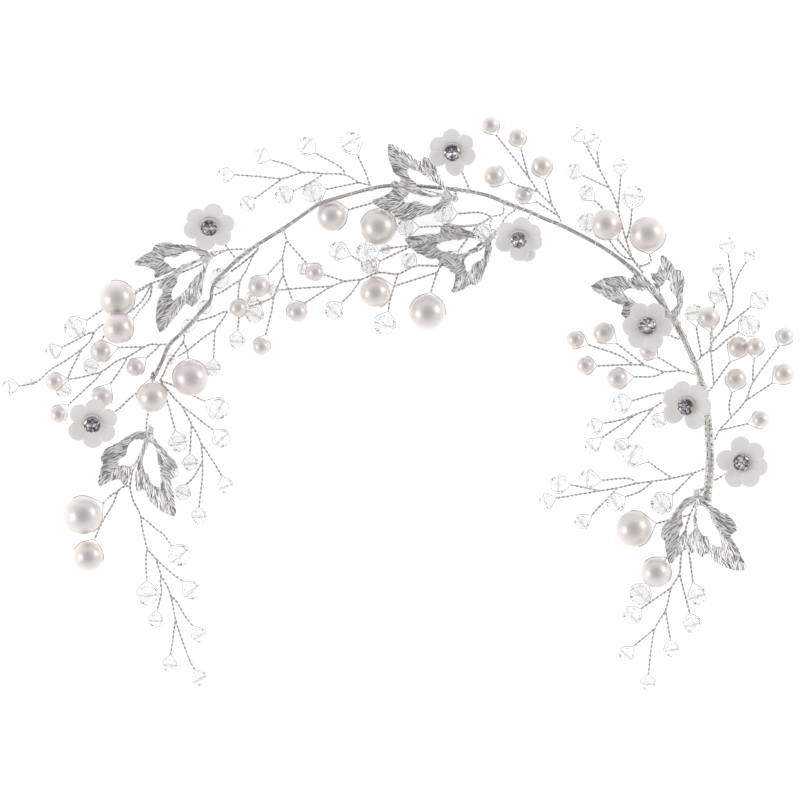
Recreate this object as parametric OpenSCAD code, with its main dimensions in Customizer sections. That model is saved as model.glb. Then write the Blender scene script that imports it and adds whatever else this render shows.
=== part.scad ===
// Hair vine: a bound wire stem bent to an open arch, with twisted wire sprigs that carry pearl and
// crystal beads, cast leaves, and resin flowers with a rhinestone each. It lies flat, as it is stored.
// Millimetres. X runs along the vine's width, Y to the top of its arch, Z up from the surface.

/* [Vine] */
// Width of the whole vine
vine_w = 238; // [234:1:270]
// Height of the stem's axis over the surface
stem_h = 5.2; // [4.8:0.1:5.6]

/* [Stem] */
// Thickness of the stem at its left end
stem_thin_d = 1.0; // [0.8:0.05:1.1]
// Thickness of the stem along the top of the arch
stem_d = 1.3; // [1.1:0.05:1.5]
// Thickness of the stem at its right end, with the sprigs' roots bound in
stem_thick_d = 2.6; // [2.2:0.1:2.9]
// Thickness of the binding wire
binding_d = 0.3; // [0.25:0.05:0.35]

/* [Sprig wires] */
// Thickness of a twisted twig
twig_d = 0.66; // [0.56:0.01:0.72]
// Thickness of the single wire that holds a bead
loop_d = 0.32; // [0.28:0.01:0.36]
// Bore through a bead for its wire
bore_d = 0.8; // [0.7:0.05:0.9]
// Gap between a wire and the bead or stem that it goes round
wire_gap = 0.15; // [0.12:0.01:0.2]

/* [Pearls] */
// Largest pearl
pearl_grand = 11.7; // [11:0.1:12]
// Large pearls
pearl_large = 10.8; // [10.2:0.1:11]
// Middle pearls
pearl_wide = 9.1; // [8.6:0.1:9.3]
// Small pearls
pearl_mid = 6.4; // [6:0.1:6.6]
// Smallest pearls
pearl_small = 5.4; // [5:0.1:5.6]

/* [Crystals] */
// Large crystals, across the flats
crystal_large = 6.0; // [5.6:0.1:6.2]
// Middle crystals, across the flats
crystal_mid = 5.0; // [4.6:0.1:5.2]
// Small crystals, across the flats
crystal_small = 4.1; // [3.8:0.1:4.3]
// Smallest crystals, across the flats
crystal_tiny = 3.0; // [2.8:0.1:3.2]

/* [Flowers] */
// Distance from a flower's middle to the middle of a petal's round end
petal_reach = 4.3; // [4:0.1:4.5]
// Radius of a petal's round end
petal_r = 3.3; // [3:0.1:3.5]
// Thickness of the petals
petal_t = 1.0; // [0.8:0.05:1.2]
// How far a petal's tip rises over the flower's middle
petal_rise = 1.5; // [1.2:0.1:1.8]

/* [Rhinestones] */
// Width of a stone
stone_d = 4.8; // [4.4:0.1:5]
// Wall of the metal cup
cup_t = 0.3; // [0.25:0.05:0.4]
// Thickness of the post under a cup
post_d = 0.8; // [0.7:0.05:0.9]

/* [Leaves] */
// Thickness of a leaf's plate
leaf_t = 0.8; // [0.7:0.05:1]
// How far the ribs stand up from the plate
rib_h = 0.3; // [0.2:0.05:0.4]
// Distance from one rib to the next
rib_pitch = 1.3; // [1.2:0.1:1.6]
// Eyelet at a leaf's base
eyelet_d = 1.2; // [1.1:0.05:1.3]

/* [Hidden] */
// The layout sheet spans the vine's width in this many steps, and its middle is at this place.
// X counts to the right on it and Y counts down.
sheet_steps = 793;
sheet_mid = [398.5, 403.5];
step = vine_w / sheet_steps;

// What a strand ends in
GRAND = 0;    // a pearl that is a node of its own
PEARL = 1;
CRYSTAL = 2;
BARE = 3;     // nothing: the wire's end
TIE = 4;      // a ring through a leaf's eyelet
EYE = 5;      // a ring round a flower's post
ROOT = [];    // the end of a route at the ring that holds it on the stem
OUTER = 1;
INNER = -1;

stem_half_d = (stem_d + stem_thick_d) / 2;
stem_route = [
    // x, y, thickness, and where the stem rises over its height, how far
    [152.5, 380, stem_thin_d],     // 0: left end
    [156, 373, stem_thin_d],       // 1
    [162, 361, stem_thin_d],       // 2
    [168.5, 346, stem_thin_d],     // 3
    [176, 338, stem_thin_d],       // 4
    [182, 332.5, stem_thin_d],     // 5
    [195, 319, stem_thin_d],       // 6
    [199, 314, stem_thin_d],       // 7
    [210.5, 300, stem_thin_d],     // 8
    [212.5, 287, stem_thin_d],     // 9
    [227, 269.5, stem_thin_d],     // 10
    [237, 260, stem_d],            // 11
    [247, 252, stem_d],            // 12
    [257, 245, stem_d],            // 13
    [269, 237.5, stem_d],          // 14
    [282.5, 229, stem_d, 0.6],          // 15
    [300, 217, stem_d, 1.6],            // 16
    [319.5, 204, stem_d, 2.4],          // 17
    [344, 196, stem_d, 2.4],            // 18
    [358, 192, stem_d, 1.5],            // 19
    [371, 188.5, stem_d, 0.7],          // 20
    [384, 186, stem_d],            // 21
    [400, 185.5, stem_d],          // 22
    [415, 186, stem_d],            // 23
    [430, 187, stem_d],            // 24
    [445, 188.5, stem_d],          // 25
    [456, 189.5, stem_d],          // 26
    [468, 191, stem_d],            // 27
    [484, 194.5, stem_d],          // 28
    [496, 198.5, stem_d],          // 29
    [505, 202.5, stem_d],          // 30
    [516, 207, stem_d],            // 31
    [531, 212.5, stem_d],          // 32
    [545, 219, stem_d],            // 33
    [559.4, 224.5, stem_d],        // 34
    [574.5, 232, stem_d],          // 35
    [588, 239, stem_d],            // 36
    [602, 247, stem_d],            // 37
    [620, 259.4, stem_d],          // 38
    [639.6, 276, stem_half_d],     // 39
    [650, 288, stem_half_d],       // 40
    [660, 300, stem_half_d],       // 41
    [669, 314, stem_half_d],       // 42
    [676.3, 325, stem_half_d],     // 43
    [683, 337, stem_half_d],       // 44
    [690, 352, stem_half_d],       // 45
    [694.5, 362, stem_half_d],     // 46
    [698.5, 373, stem_half_d],     // 47
    [701.5, 383, stem_half_d],     // 48
    [703.5, 392, stem_thick_d],    // 49
    [705, 401, stem_thick_d],      // 50
    [706.5, 412, stem_thick_d],    // 51
    [708, 425, stem_thick_d],      // 52
    [709, 440, stem_thick_d],      // 53
    [709.8, 456, stem_thick_d],    // 54
    [709.8, 469, stem_thick_d],    // 55
    [709, 480, stem_thick_d],      // 56
    [708, 490, stem_thick_d],      // 57
    [707, 501, stem_thick_d]       // 58: right end
];

// Each sprig is a table of strands. A strand's route runs from the fork, where its bead's loop
// closes, to where it joins another strand or the stem. Its bead and fork have the bead's height,
// and a point without a height of its own has the sprig's level.
left_top = [
    // kind, size, x, y, height, route
    [GRAND, pearl_large, 116.5, 298.5, 7, [[134.5, 292], [152, 283], [170, 277], [205, 262], [215, 255.5],
        [228, 250], ROOT]],
    [TIE, 0, 209, 256, 7.5, [[228, 250]]],
    [CRYSTAL, crystal_large, 74, 328, 3.4, [[86.5, 320.5], [101, 311, 1.2], [134, 294, 1.2], [152, 283]]],
    [GRAND, pearl_wide, 118, 328.5, 11.6, [[131, 321], [140, 310, 8], [150, 297], [152, 283]]],
    [CRYSTAL, crystal_small, 9, 386.5, 3, [[18, 386], [23, 385.5, 3], [37, 381.5, 3], [50, 370], [65, 361],
        [82, 348.5], [90, 341], [94, 333], [101, 326, 2.5], [120, 318, 1.2], [140, 303, 1.4], [152, 283]]],
    [CRYSTAL, crystal_small, 52, 352, 3, [[61.5, 347.5], [78, 339], [91, 332.5], [94, 333]]],
    [CRYSTAL, crystal_small, 63, 391, 2.1, [[67.5, 379], [71, 370], [76, 360], [82, 348.5]]],
    [CRYSTAL, crystal_small, 91, 367, 2.2, [[93.5, 359], [98, 348, 1.2], [104, 336, 1.2], [120, 318, 1.2]]]
];

left_side = [
    [PEARL, pearl_small, 54, 381.5, 5.7, [[67.5, 379.5], [78, 378], [90, 375], [102, 371.5], [117, 361],
        [128, 356.5], [136, 352], [144, 347], [150, 344.5], [160, 344.5], ROOT]],
    [PEARL, pearl_small, 135, 367.5, 4.4, [[146, 358], [155, 350], [160, 344.5]]],
    [PEARL, pearl_mid, 100.5, 351.5, 5.2, [[118, 347.5], [144, 347]]],
    [PEARL, pearl_mid, 101.5, 397.5, 3.8, [[110, 384], [120, 370], [128, 356.5]]],
    [PEARL, pearl_small, 58, 414.5, 3.4, [[68, 405], [83, 391], [95, 380], [102, 371.5]]]
];

left_low = [
    [CRYSTAL, crystal_small, 200, 679, 2.6, [[195, 670], [190, 661], [185, 648], [178, 628], [175.5, 619],
        [174, 612], [170.5, 595], [168, 588], [161, 575], [158, 566], [155, 558], [147.5, 549], [144.5, 538],
        [142, 527], [140.5, 516], [137, 508], [133, 500], [130, 487], [131, 480], [133, 470], [141, 452],
        [146, 436], [146.5, 425], [148, 413, 1.2], [150, 400, 1.2], [151, 389, 1.6], ROOT]],
    [TIE, 0, 150, 434, 6, [[146.5, 425]]],
    [GRAND, pearl_wide, 152, 397.5, 6.7, [[150.5, 379], ROOT]],
    [GRAND, pearl_grand, 82.5, 515.5, 5.85, [[103, 503.5], [111, 495.5], [119, 490]]],
    [GRAND, pearl_wide, 88, 556.5, 4.55, [[94.5, 539.5], [104, 519], [113, 504], [119, 490], [126, 486],
        [130, 487]]],
    [CRYSTAL, crystal_large, 180, 556, 4, [[174, 549], [169, 542], [163, 534], [156, 529], [148, 522],
        [140.5, 516]]],
    [CRYSTAL, crystal_large, 147.5, 595.5, 3.6, [[147, 580.5], [146, 566], [146, 556], [147.5, 549]]],
    [CRYSTAL, crystal_mid, 192, 591, 3.6, [[183, 581.5], [168, 570], [155, 558]]],
    [CRYSTAL, crystal_small, 156, 621, 2.4,
        [[156.5, 612], [160, 600], [161.5, 590], [160.5, 582], [161, 575]]],
    [CRYSTAL, crystal_small, 199.5, 636, 3, [[193, 626], [188, 620], [182, 611], [176, 601], [170.5, 595]]],
    [CRYSTAL, crystal_small, 170, 665.5, 2.4, [[170.5, 655], [173, 638], [175.5, 619]]],
    [EYE, 0, 0, 0, 0, [[117.5, 410, 4], [125, 403, 3.4], [136, 394, 1.6], [151, 389, 1.6]]]
];

left_inner = [
    [CRYSTAL, crystal_small, 199, 517, 2.6, [[199, 508], [200, 498], [202.5, 475], [202.5, 462], [202, 452],
        [200.5, 442], [198, 436], [191.5, 424], [185, 412], [181, 405], [175, 399], [166, 388], [160.5, 381],
        [164, 373], [168, 364], [174, 355], [183, 342], ROOT]],
    [GRAND, pearl_large, 190.5, 378, 5.4, [[188.5, 359], [187, 349], [183, 342]]],
    [CRYSTAL, crystal_mid, 222, 439, 3.6, [[214, 430.5], [205, 424], [195, 416], [181, 405]]],
    [CRYSTAL, crystal_small, 190.5, 464, 3, [[190, 455], [190.5, 445], [191, 433], [191.5, 424]]],
    [CRYSTAL, crystal_small, 226, 486.5, 3.4, [[222.5, 477], [216, 466], [205, 449], [200.5, 442]]],
    [CRYSTAL, crystal_small, 182.5, 493.5, 2.4, [[186, 485], [193.5, 477], [202.5, 462]]],
    [CRYSTAL, crystal_mid, 178.5, 443.5, 3.2, [[175.5, 431], [171, 415], [168, 404], [160.5, 381]]],
    [CRYSTAL, crystal_large, 219, 409, 3.4, [[205, 401], [197, 397.5, 1.2], [184, 391, 1.2], [172, 385, 2],
        [160.5, 381]]]
];

inner_left = [
    [CRYSTAL, crystal_small, 213, 369, 2.2, [[213.5, 360], [214, 345], [216, 329], [221, 322], [226.5, 311.5],
        [212, 317], ROOT]],
    [BARE, 0, 177.5, 356.5, 4, [[188, 350], [203, 338], [216, 329]]]
];

inner_fall = [
    [CRYSTAL, crystal_small, 236.5, 341.5, 2.6, [[237.5, 331], [238.5, 322, 1.2], [239, 310, 1.2],
        [238, 297, 1.6], [240.5, 280], [246, 271], [255, 252], ROOT]],
    [BARE, 0, 214.5, 295, 4, [[223, 291.5, 3], [232, 285, 3.4], [240.5, 280]]]
];

inner_top = [
    [PEARL, pearl_small, 261.5, 346.5, 3.6, [[265.5, 335], [271.3, 312.5], [274, 297], [279.4, 283],
        [283, 273.5], [282.7, 257.6], [286, 240], ROOT]],
    [PEARL, pearl_small, 315, 272.5, 5.2, [[307.5, 264.3], [286, 240]]],
    [PEARL, pearl_mid, 258.5, 286.5, 5.6, [[267.7, 275], [282.7, 257.6]]],
    [PEARL, pearl_mid, 297.3, 312, 4.2, [[292.8, 301], [286, 283], [283, 273.5]]],
    [PEARL, pearl_small, 238, 308, 5, [[250, 306.5], [263, 302], [274, 297]]],
    [CRYSTAL, crystal_mid, 254, 314.5, 2.6, [[259.5, 305.5], [263, 302]]],
    [CRYSTAL, crystal_tiny, 250, 297, 2, [[257, 300], [263, 302]]]
];

top_left = [
    [CRYSTAL, crystal_small, 224, 175, 4, [[234, 174.6], [258.2, 176.3], [283, 178.3], [303, 172.5],
        [323.8, 173.6], [345.3, 175], [359.3, 182.3], ROOT]],
    [CRYSTAL, crystal_large, 350.6, 142, 4.6, [[357.3, 155], [364, 169], ROOT]],
    [CRYSTAL, crystal_large, 312.5, 192.4, 3.1, [[325.8, 189.3], [359.3, 182.3]]],
    [CRYSTAL, crystal_mid, 305.8, 145.5, 4, [[314.5, 152.5], [342.6, 169], [345.3, 175]]],
    [CRYSTAL, crystal_mid, 283, 195.7, 3.4,
        [[293, 191], [303.7, 185.7, 6.8], [314.5, 180.3, 6.8], [323.8, 173.6]]],
    [CRYSTAL, crystal_small, 260.5, 155.5, 3.6, [[270.3, 159.6], [286.3, 164.2], [303, 172.5]]],
    [CRYSTAL, crystal_small, 246.8, 204.4, 3.2, [[254, 199], [267.6, 189], [283, 178.3]]]
];

top_pearls = [
    [GRAND, pearl_wide, 331.5, 216, 4.56, [[348, 209.8], [369.4, 203.7], [390, 197], ROOT]],
    [GRAND, pearl_large, 378.3, 227.4, 5.41, [[382, 208], [390, 197]]]
];

middle = [
    [GRAND, pearl_large, 427.5, 312.5, 5.4, [[430.5, 294.5], [437.3, 272.5], [441, 266], [457, 256.5],
        [480.5, 249.1], [499.5, 226.6], [507, 216], ROOT]],
    [TIE, 0, 488, 239, 6.2, [[499.5, 226.6]]],
    [GRAND, pearl_wide, 375, 292.5, 4.55, [[393.7, 286.4], [437.3, 272.5]]],
    [BARE, 0, 305, 303, 3.4, [[332, 286.3], [345.5, 281.4], [360.8, 279.3], [379.2, 272.7], [397.8, 274],
        [414.8, 266.4], [441, 266]]],
    [CRYSTAL, crystal_large, 384.3, 325, 3.6, [[388.3, 311.5], [389.5, 303], [394, 286.5], [397.8, 274]]],
    [CRYSTAL, crystal_mid, 337.3, 250.4, 3.6, [[350.5, 255.5], [362.6, 262.4, 0.7], [373.5, 268.7, 0.7],
        [380.5, 272.8]]],
    [CRYSTAL, crystal_mid, 333.3, 311.2, 2.8, [[340.8, 303.2], [350.5, 294], [360.8, 279.3, 3.12]]],
    [CRYSTAL, crystal_tiny, 301.5, 269, 1.8, [[309, 270.5], [325, 275, 1.2], [345.5, 281.4]]],
    [CRYSTAL, crystal_tiny, 271, 290.5, 2, [[278.5, 290], [300, 288.2], [332, 286.3]]],
    [CRYSTAL, crystal_small, 408.5, 260, 5.4, [[416, 265], [428, 266.2]]]
];

middle_top = [
    [CRYSTAL, crystal_mid, 405.5, 227.3, 3.4, [[419, 227], [438, 226, 7.6], [478, 224.5, 7.8],
        [492, 217, 7], [503, 214, 5.6], ROOT]],
    [CRYSTAL, crystal_large, 443.3, 212.6, 3.6, [[457.3, 213.6], [480.8, 212.6, 5], [492, 217, 7]]],
    [CRYSTAL, crystal_large, 366.3, 252.3, 9.2, [[378, 251], [391.5, 248, 9.2], [414.8, 244.6, 9.2],
        [438.3, 237.8, 9], [457.8, 228.3, 8.4], [478, 224.5, 7.8]]],
    [CRYSTAL, crystal_mid, 368.9, 265.2, 3.8, [[379, 261.3], [414.8, 244.6, 9.2]]],
    [CRYSTAL, crystal_mid, 451.2, 260.8, 9.8, [[457.5, 252], [469, 236.6, 8.4], [478, 224.5, 7.8]]],
    [CRYSTAL, crystal_mid, 482, 233.7, 10.1, [[489.5, 226], [492, 217, 7]]]
];

top_sprig = [
    [PEARL, pearl_small, 490.4, 124.8, 4, [[496, 134.8], [528.8, 177.6], [539, 192.3], [552.4, 206],
        [558.7, 216], ROOT]],
    [PEARL, pearl_small, 523.6, 194.7, 2.8, [[536.3, 201.6], [558.7, 216]]],
    [PEARL, pearl_mid, 541.8, 166, 4.6, [[545, 179], [552.4, 206]]],
    [PEARL, pearl_mid, 494.1, 175.9, 3.6, [[509.7, 181.7], [518.7, 185.7, 5.4], [539, 192.3]]],
    [PEARL, pearl_small, 517.4, 137.2, 3.4, [[520.7, 147.8], [528.8, 177.6]]]
];

top_right = [
    [CRYSTAL, crystal_small, 577, 133.5, 3.4, [[583.4, 141.5], [599, 168.3], [609.3, 188], [612, 192.4],
        [618, 209.2], [621.3, 223], [626.3, 241], [633.4, 260], ROOT]],
    [CRYSTAL, crystal_large, 633.4, 195.8, 3.8, [[632, 208], [630.7, 223], [626.3, 241]]],
    [CRYSTAL, crystal_small, 620, 165, 3.8, [[620.9, 174.5], [618, 209.2]]],
    [CRYSTAL, crystal_small, 573.1, 171, 2.8, [[581, 174.6], [609.3, 188]]],
    [CRYSTAL, crystal_small, 592.5, 140.2, 4.4, [[597.1, 150.9], [599, 168.3]]],
    [CRYSTAL, crystal_small, 585.8, 192.4, 2.4, [[594.6, 200.4], [602.6, 209.2, 1.2], [607, 224, 1.2],
        [609.6, 240, 1.4], [624, 256.7], [633.4, 260]]],
    [CRYSTAL, crystal_mid, 586.5, 222.5, 2.6, [[597, 223.5], [607, 224, 1.2]]],
    [GRAND, pearl_wide, 606, 224.3, 7.1, [[617, 238.5], [633.4, 260]]],
    [GRAND, pearl_large, 647.8, 233.9, 5.4, [[649.5, 254], [650.1, 262], [640, 266], [633.4, 260]]]
];

right_inner = [
    [PEARL, pearl_small, 585.3, 365.5, 3.6, [[595.5, 365.8], [632.7, 364.7], [645, 365.5], [664.9, 371.6],
        [680.9, 370.8], [690, 373], ROOT]],
    [PEARL, pearl_small, 648, 350.9, 2.8, [[657.2, 356.7], [680.9, 370.8]]],
    [PEARL, pearl_mid, 617.4, 378.5, 4.4, [[633.5, 376.9], [654.9, 376.2], [664.9, 371.6]]],
    [PEARL, pearl_mid, 603.6, 332.6, 4.4, [[616.6, 343.3], [645, 365.5]]],
    [PEARL, pearl_small, 575.3, 339.4, 3.2, [[587.6, 344.5], [621.2, 356.3], [632.7, 364.7]]]
];

right_outer = [
    [CRYSTAL, crystal_small, 726.8, 243.6, 3.4, [[728.2, 253.5], [730.6, 272], [733, 290], [732, 305],
        [729, 311], [722.5, 329.5], [714, 339.7], [708.5, 351], [701.5, 356.5], ROOT]],
    [CRYSTAL, crystal_mid, 694.4, 312.8, 2.6, [[696.2, 326.2], [701.5, 356.5]]],
    [CRYSTAL, crystal_large, 750, 325.3, 3.4, [[740, 331], [726, 340.5], [714, 350.5], [708.5, 351]]],
    [CRYSTAL, crystal_mid, 760, 298.9, 4, [[751.2, 306.3], [722.5, 329.5]]],
    [CRYSTAL, crystal_tiny, 717.8, 268.3, 3.4, [[718.4, 276], [720, 284], [724.5, 293], [729, 311]]],
    [CRYSTAL, crystal_tiny, 750, 254.4, 4, [[746.4, 262], [738, 276], [733, 290]]],
    [CRYSTAL, crystal_small, 716.4, 294, 2.4, [[714.5, 303.5], [712.5, 318, 1.2], [712, 332, 1.4],
        [714, 339.7]]]
];

right_pair = [
    [PEARL, pearl_mid, 738.3, 347, 3.4, [[730.7, 361.3], [714, 384.5], ROOT]],
    [PEARL, pearl_mid, 708.5, 317.3, 7.1, [[710.7, 332], [711, 352], [714, 384.5]]]
];

right_low_outer = [
    [PEARL, pearl_small, 785.1, 335.8, 4.4, [[779.5, 345.5], [752.7, 383.1], [745.3, 401.2], [731, 417.5],
        [719.5, 430.5], ROOT]],
    [PEARL, pearl_small, 760.7, 419.6, 3.6, [[748.2, 423.7], [719.5, 430.5]]],
    [PEARL, pearl_mid, 736.1, 378.8, 3.6, [[732.2, 391.9], [729.2, 407], [731, 417.5]]],
    [PEARL, pearl_mid, 784, 373.5, 4, [[772.5, 382.9], [745.3, 401.2]]],
    [PEARL, pearl_small, 755.7, 346.6, 6.6, [[755, 357], [753.6, 363], [752.7, 383.1]]]
];

right_low_inner = [
    [CRYSTAL, crystal_small, 593.7, 426.5, 3.4, [[602.5, 423.4], [619.5, 420.2], [637, 413.8], [653.4, 407.8],
        [662, 402.4], [680, 399.5], ROOT]],
    [CRYSTAL, crystal_mid, 620.7, 403.7, 3.8, [[631.5, 401], [663.2, 393.2], [680, 399.5]]],
    [CRYSTAL, crystal_small, 620.3, 446.5, 2.15, [[627.6, 438.5], [653.4, 407.8]]],
    [CRYSTAL, crystal_small, 591.4, 446.6, 2.6, [[601.2, 438], [637, 413.8]]],
    [CRYSTAL, crystal_small, 658.6, 421.5, 2.6, [[662.5, 413], [668, 406], [680, 399.5]]]
];

right_low = [
    [CRYSTAL, crystal_small, 545.5, 501.7, 2.6, [[555.8, 498.2], [600, 490.8], [617, 488], [636.5, 483.5],
        [652.5, 481.3], [672.3, 478.2], [694.4, 472.5], ROOT]],
    [CRYSTAL, crystal_large, 661, 503.5, 3.4, [[672.4, 494.8], [694.4, 472.5]]],
    [CRYSTAL, crystal_large, 632.7, 454.6, 5.8, [[648.2, 461.5], [660.9, 470.7], [672.3, 478.2]]],
    [CRYSTAL, crystal_mid, 615, 502.8, 4.4, [[625, 497], [640.2, 491.4], [652.5, 481.3]]],
    [CRYSTAL, crystal_mid, 587.4, 479, 6.4, [[601, 480.5], [631, 479], [636.5, 483.5]]],
    [CRYSTAL, crystal_small, 581.1, 522.3, 2.4, [[591.4, 515.5], [606, 499.8, 1], [617, 488]]],
    [CRYSTAL, crystal_mid, 558.1, 484, 3, [[570.2, 484.7], [600, 490.8]]]
];

right_end = [
    [CRYSTAL, crystal_small, 648.1, 684, 2.4, [[648.4, 675], [651.2, 648.4], [655, 628.3], [665.5, 610],
        [671.5, 587.5], [679.5, 573.5], [680.7, 558.6], [685.5, 530], [690, 515], [697, 500], ROOT]],
    [TIE, 0, 697, 497, 7.4, [ROOT]],
    [GRAND, pearl_large, 633.8, 529, 5.4, [[655.8, 523.6], [690, 515]]],
    [GRAND, pearl_wide, 656, 572.6, 5.9, [[668, 557.5], [676, 545], [685.5, 530]]],
    [CRYSTAL, crystal_large, 639.7, 594.7, 3.05, [[647, 586], [650, 582, 0.7], [660, 568, 0.7],
        [670, 553, 0.9], [685.5, 530]]],
    [CRYSTAL, crystal_mid, 697.5, 596.5, 3, [[693, 583.1], [689.8, 557.9], [685.5, 530]]],
    [CRYSTAL, crystal_mid, 692.6, 625, 2.6, [[689.8, 613.5], [684.2, 592.3], [679.5, 573.5]]],
    [CRYSTAL, crystal_mid, 631.6, 615.8, 3.2, [[640.7, 609.1], [671.5, 587.5]]],
    [CRYSTAL, crystal_small, 671.6, 650, 2.8, [[670.6, 641], [665.5, 610]]],
    [CRYSTAL, crystal_small, 626, 654.5, 2.6, [[633, 646.7], [655, 628.3]]]
];

// Wires of the leaves and flowers that sit on the stem itself
on_stem = [
    // stem point, side, level, strands
    [11, OUTER, 6.2, [[EYE, 1, 0, 0, 0, [ROOT]]]],
    [26, INNER, 5.2, [[TIE, 0, 451, 197, 7.6, [ROOT]]]],
    [27, OUTER, 5.2, [[EYE, 2, 0, 0, 0, [ROOT]]]],
    [32, INNER, 6.2, [[EYE, 3, 0, 0, 0, [ROOT]]]],
    [43, OUTER, 7, [[TIE, 0, 673, 318, 8.6, [ROOT]]]],
    [44, INNER, 7.5, [[EYE, 4, 0, 0, 0, [ROOT]]]],
    [48, INNER, 7, [[EYE, 5, 0, 0, 0, [ROOT]]]],
    [56, OUTER, 5.2, [[EYE, 6, 0, 0, 0, [ROOT]]]]
];

SPRIGS = [
    // name, then for each stalk: stem point, side, level, strands
    ["left_top", [[12, OUTER, 4, left_top]]],
    ["left_side", [[3, OUTER, 4.8, left_side]]],
    ["left_low", [[1, OUTER, 2.5, left_low]]],
    ["left_inner", [[5, INNER, 3, left_inner]]],
    ["inner_left", [[6, INNER, 4.9, inner_left], [13, INNER, 4, inner_fall]]],
    ["inner_top", [[15, INNER, 4.6, inner_top]]],
    ["top_left", [[20, OUTER, 5.2, top_left], [22, INNER, 3.6, top_pearls]]],
    ["middle", [[31, INNER, 3, middle]]],
    ["middle_top", [[30, INNER, 4.6, middle_top]]],
    ["top_sprig", [[34, OUTER, 5, top_sprig]]],
    ["top_right", [[39, OUTER, 3, top_right]]],
    ["right_inner", [[47, INNER, 4, right_inner]]],
    ["right_outer", [[46, OUTER, 4.4, right_outer], [49, OUTER, 6.2, right_pair]]],
    ["right_low_outer", [[53, OUTER, 4.4, right_low_outer]]],
    ["right_low_inner", [[50, INNER, 3.6, right_low_inner], [55, INNER, 3.4, right_low]]],
    ["right_end", [[57, INNER, 2.6, right_end]]],
    ["ornament", on_stem]
];

// Crystals that a wire runs straight through
strung = [
    // size, x and y of the middle, x and y towards which the wire runs, height, thickness of the wire
    [crystal_small, 188.5, 325.75, 195, 319, stem_h, stem_thin_d],
    [crystal_small, 204.75, 307, 210.5, 300, stem_h, stem_thin_d],
    [crystal_large, 219.75, 278.25, 227, 269.5, stem_h, stem_thin_d],
    [crystal_tiny, 30, 383.5, 37, 381.5, 3, twig_d],
    [crystal_tiny, 171, 359.5, 174, 355, 3, twig_d],
    [crystal_tiny, 493.2, 234.1, 499.5, 226.6, 3, twig_d],
    [crystal_tiny, 486.5, 242, 499.5, 226.6, 3, twig_d],
    [crystal_tiny, 386, 249.2, 391.5, 248, 9.2, twig_d]
];

flowers = [
    // x, y, height of the underside at the middle, tilt, direction that it faces, turn, share of the size
    [92, 421.5, 7, 22, 270, 85, 1.04],
    [209, 224.5, 10.2, 24, 270, 76, 1.03],
    [452.3, 150.5, 8.8, 16, 270, 95, 0.96],
    [518.7, 236.8, 9, 24, 270, 88, 0.96],
    [647.3, 326.4, 10, 3, 90, 117, 1],
    [687.3, 405, 9.4, 18, 225, 105, 1.03],
    [743, 462.5, 7.4, 10, 190, 109, 1.05]
];

leaves = [
    // eyelet x and y, long tip x and y, short tip x and y, height of the plate's middle, share of the breadth
    [150, 434, 175, 517, 99.5, 487, 6, 1],
    [209, 256, 159, 333, 134, 265, 7.5, 0.86],
    [451, 197, 388, 143, 372, 200, 7.6, 0.95],
    [488, 239, 404, 239.5, 451.4, 292, 6.2, 0.95],
    [673, 318, 590, 286, 661, 255, 8.6, 1],
    [697, 497, 746, 571, 671, 564, 7.4, 1]
];

// Leaflet outlines, in steps along and across a leaflet that is leaflet_steps long, from its base to
// its tip. Across counts to the side that faces away from the other leaflet.
leaflet_steps = 87;
long_outline = [
    [-1, 3.5], [6, 4.6], [13, 6.4], [20, 9.7], [27, 12.8], [34, 16.8], [43, 17.4], [49.5, 15.4], [50, 7],
    [57, 6.7], [67, 5.8], [75, 4.4], [82, 3.4], [87, 0], [83, -6], [77, -12.5], [68, -18], [62, -21],
    [53, -21.2], [51, -24.7], [53.5, -28.6], [48, -30.2], [42, -29], [35, -26], [26, -21.4], [17, -16.6],
    [10, -10.4], [5, -4.6], [-1, -3.5]
];
long_opening = [
    [8, -3.5], [16, -10], [25, -14.8], [35, -15.7], [37, -12.2], [44, -13.2], [51, -10.2], [53.5, -6.7],
    [45, -3.1], [35, -1.2], [28, -1.1], [17, 1.1], [10, -1]
];
short_outline = [
    [-1, 3.5], [8, 13.5], [23, 19], [36, 21.7], [48, 26], [57, 25], [62.7, 22.4], [64.4, 17], [71.6, 14],
    [80, 9], [87, 4], [87, -1], [77, -3.8], [70, -7], [64, -11.7], [66, -16.7], [65.5, -21], [60.4, -21.5],
    [55, -18.4], [46, -15.6], [37, -12.8], [30, -10], [16, -6.5], [5, -4.8], [-1, -3.5]
];
short_opening = [
    [10, 0], [18.4, 8.3], [28, 8.2], [38, 2.8], [45.5, 4.3], [50.6, 4.6], [52, 0.4], [47, -3.4],
    [44.3, -9.3], [38, -10], [28, -8.3], [16, -4]
];

BEAD_GROUPS = [
    // name, kind, from and to: shares of the vine's width that it covers
    ["pearls_left", PEARL, 0, 0.25],
    ["pearls_middle", PEARL, 0.25, 0.72],
    ["pearls_right", PEARL, 0.72, 1],
    ["crystals_left", CRYSTAL, 0, 0.36],
    ["crystals_middle", CRYSTAL, 0.36, 0.72],
    ["crystals_right", CRYSTAL, 0.72, 1]
];

PEARL_COUNT = len(all_rows(GRAND));

function all_rows(kind) = [for (s = SPRIGS, part = s[1], row = part[3]) if (row[0] == kind) row];

function at(x, y, z) = [(x - sheet_mid.x) * step, (sheet_mid.y - y) * step, z];

function unit(v) = v / norm(v);

// Direction to the left of another, seen from above
function left_of(v) = unit([-v.y, v.x, 0]);

function tangent(points, i) =
    i == 0 ? unit(points[1] - points[0])
    : i == len(points) - 1 ? unit(points[i] - points[i - 1])
    : unit(unit(points[i + 1] - points[i]) + unit(points[i] - points[i - 1]));

// How much a ring widens at a bend, so that the tube keeps its thickness
mitre_most = 1.42;
function mitre(points, i) =
    i == 0 || i == len(points) - 1 ? 1
    : min(mitre_most, 1 / max(1 / mitre_most, tangent(points, i) * unit(points[i + 1] - points[i])));

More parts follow.
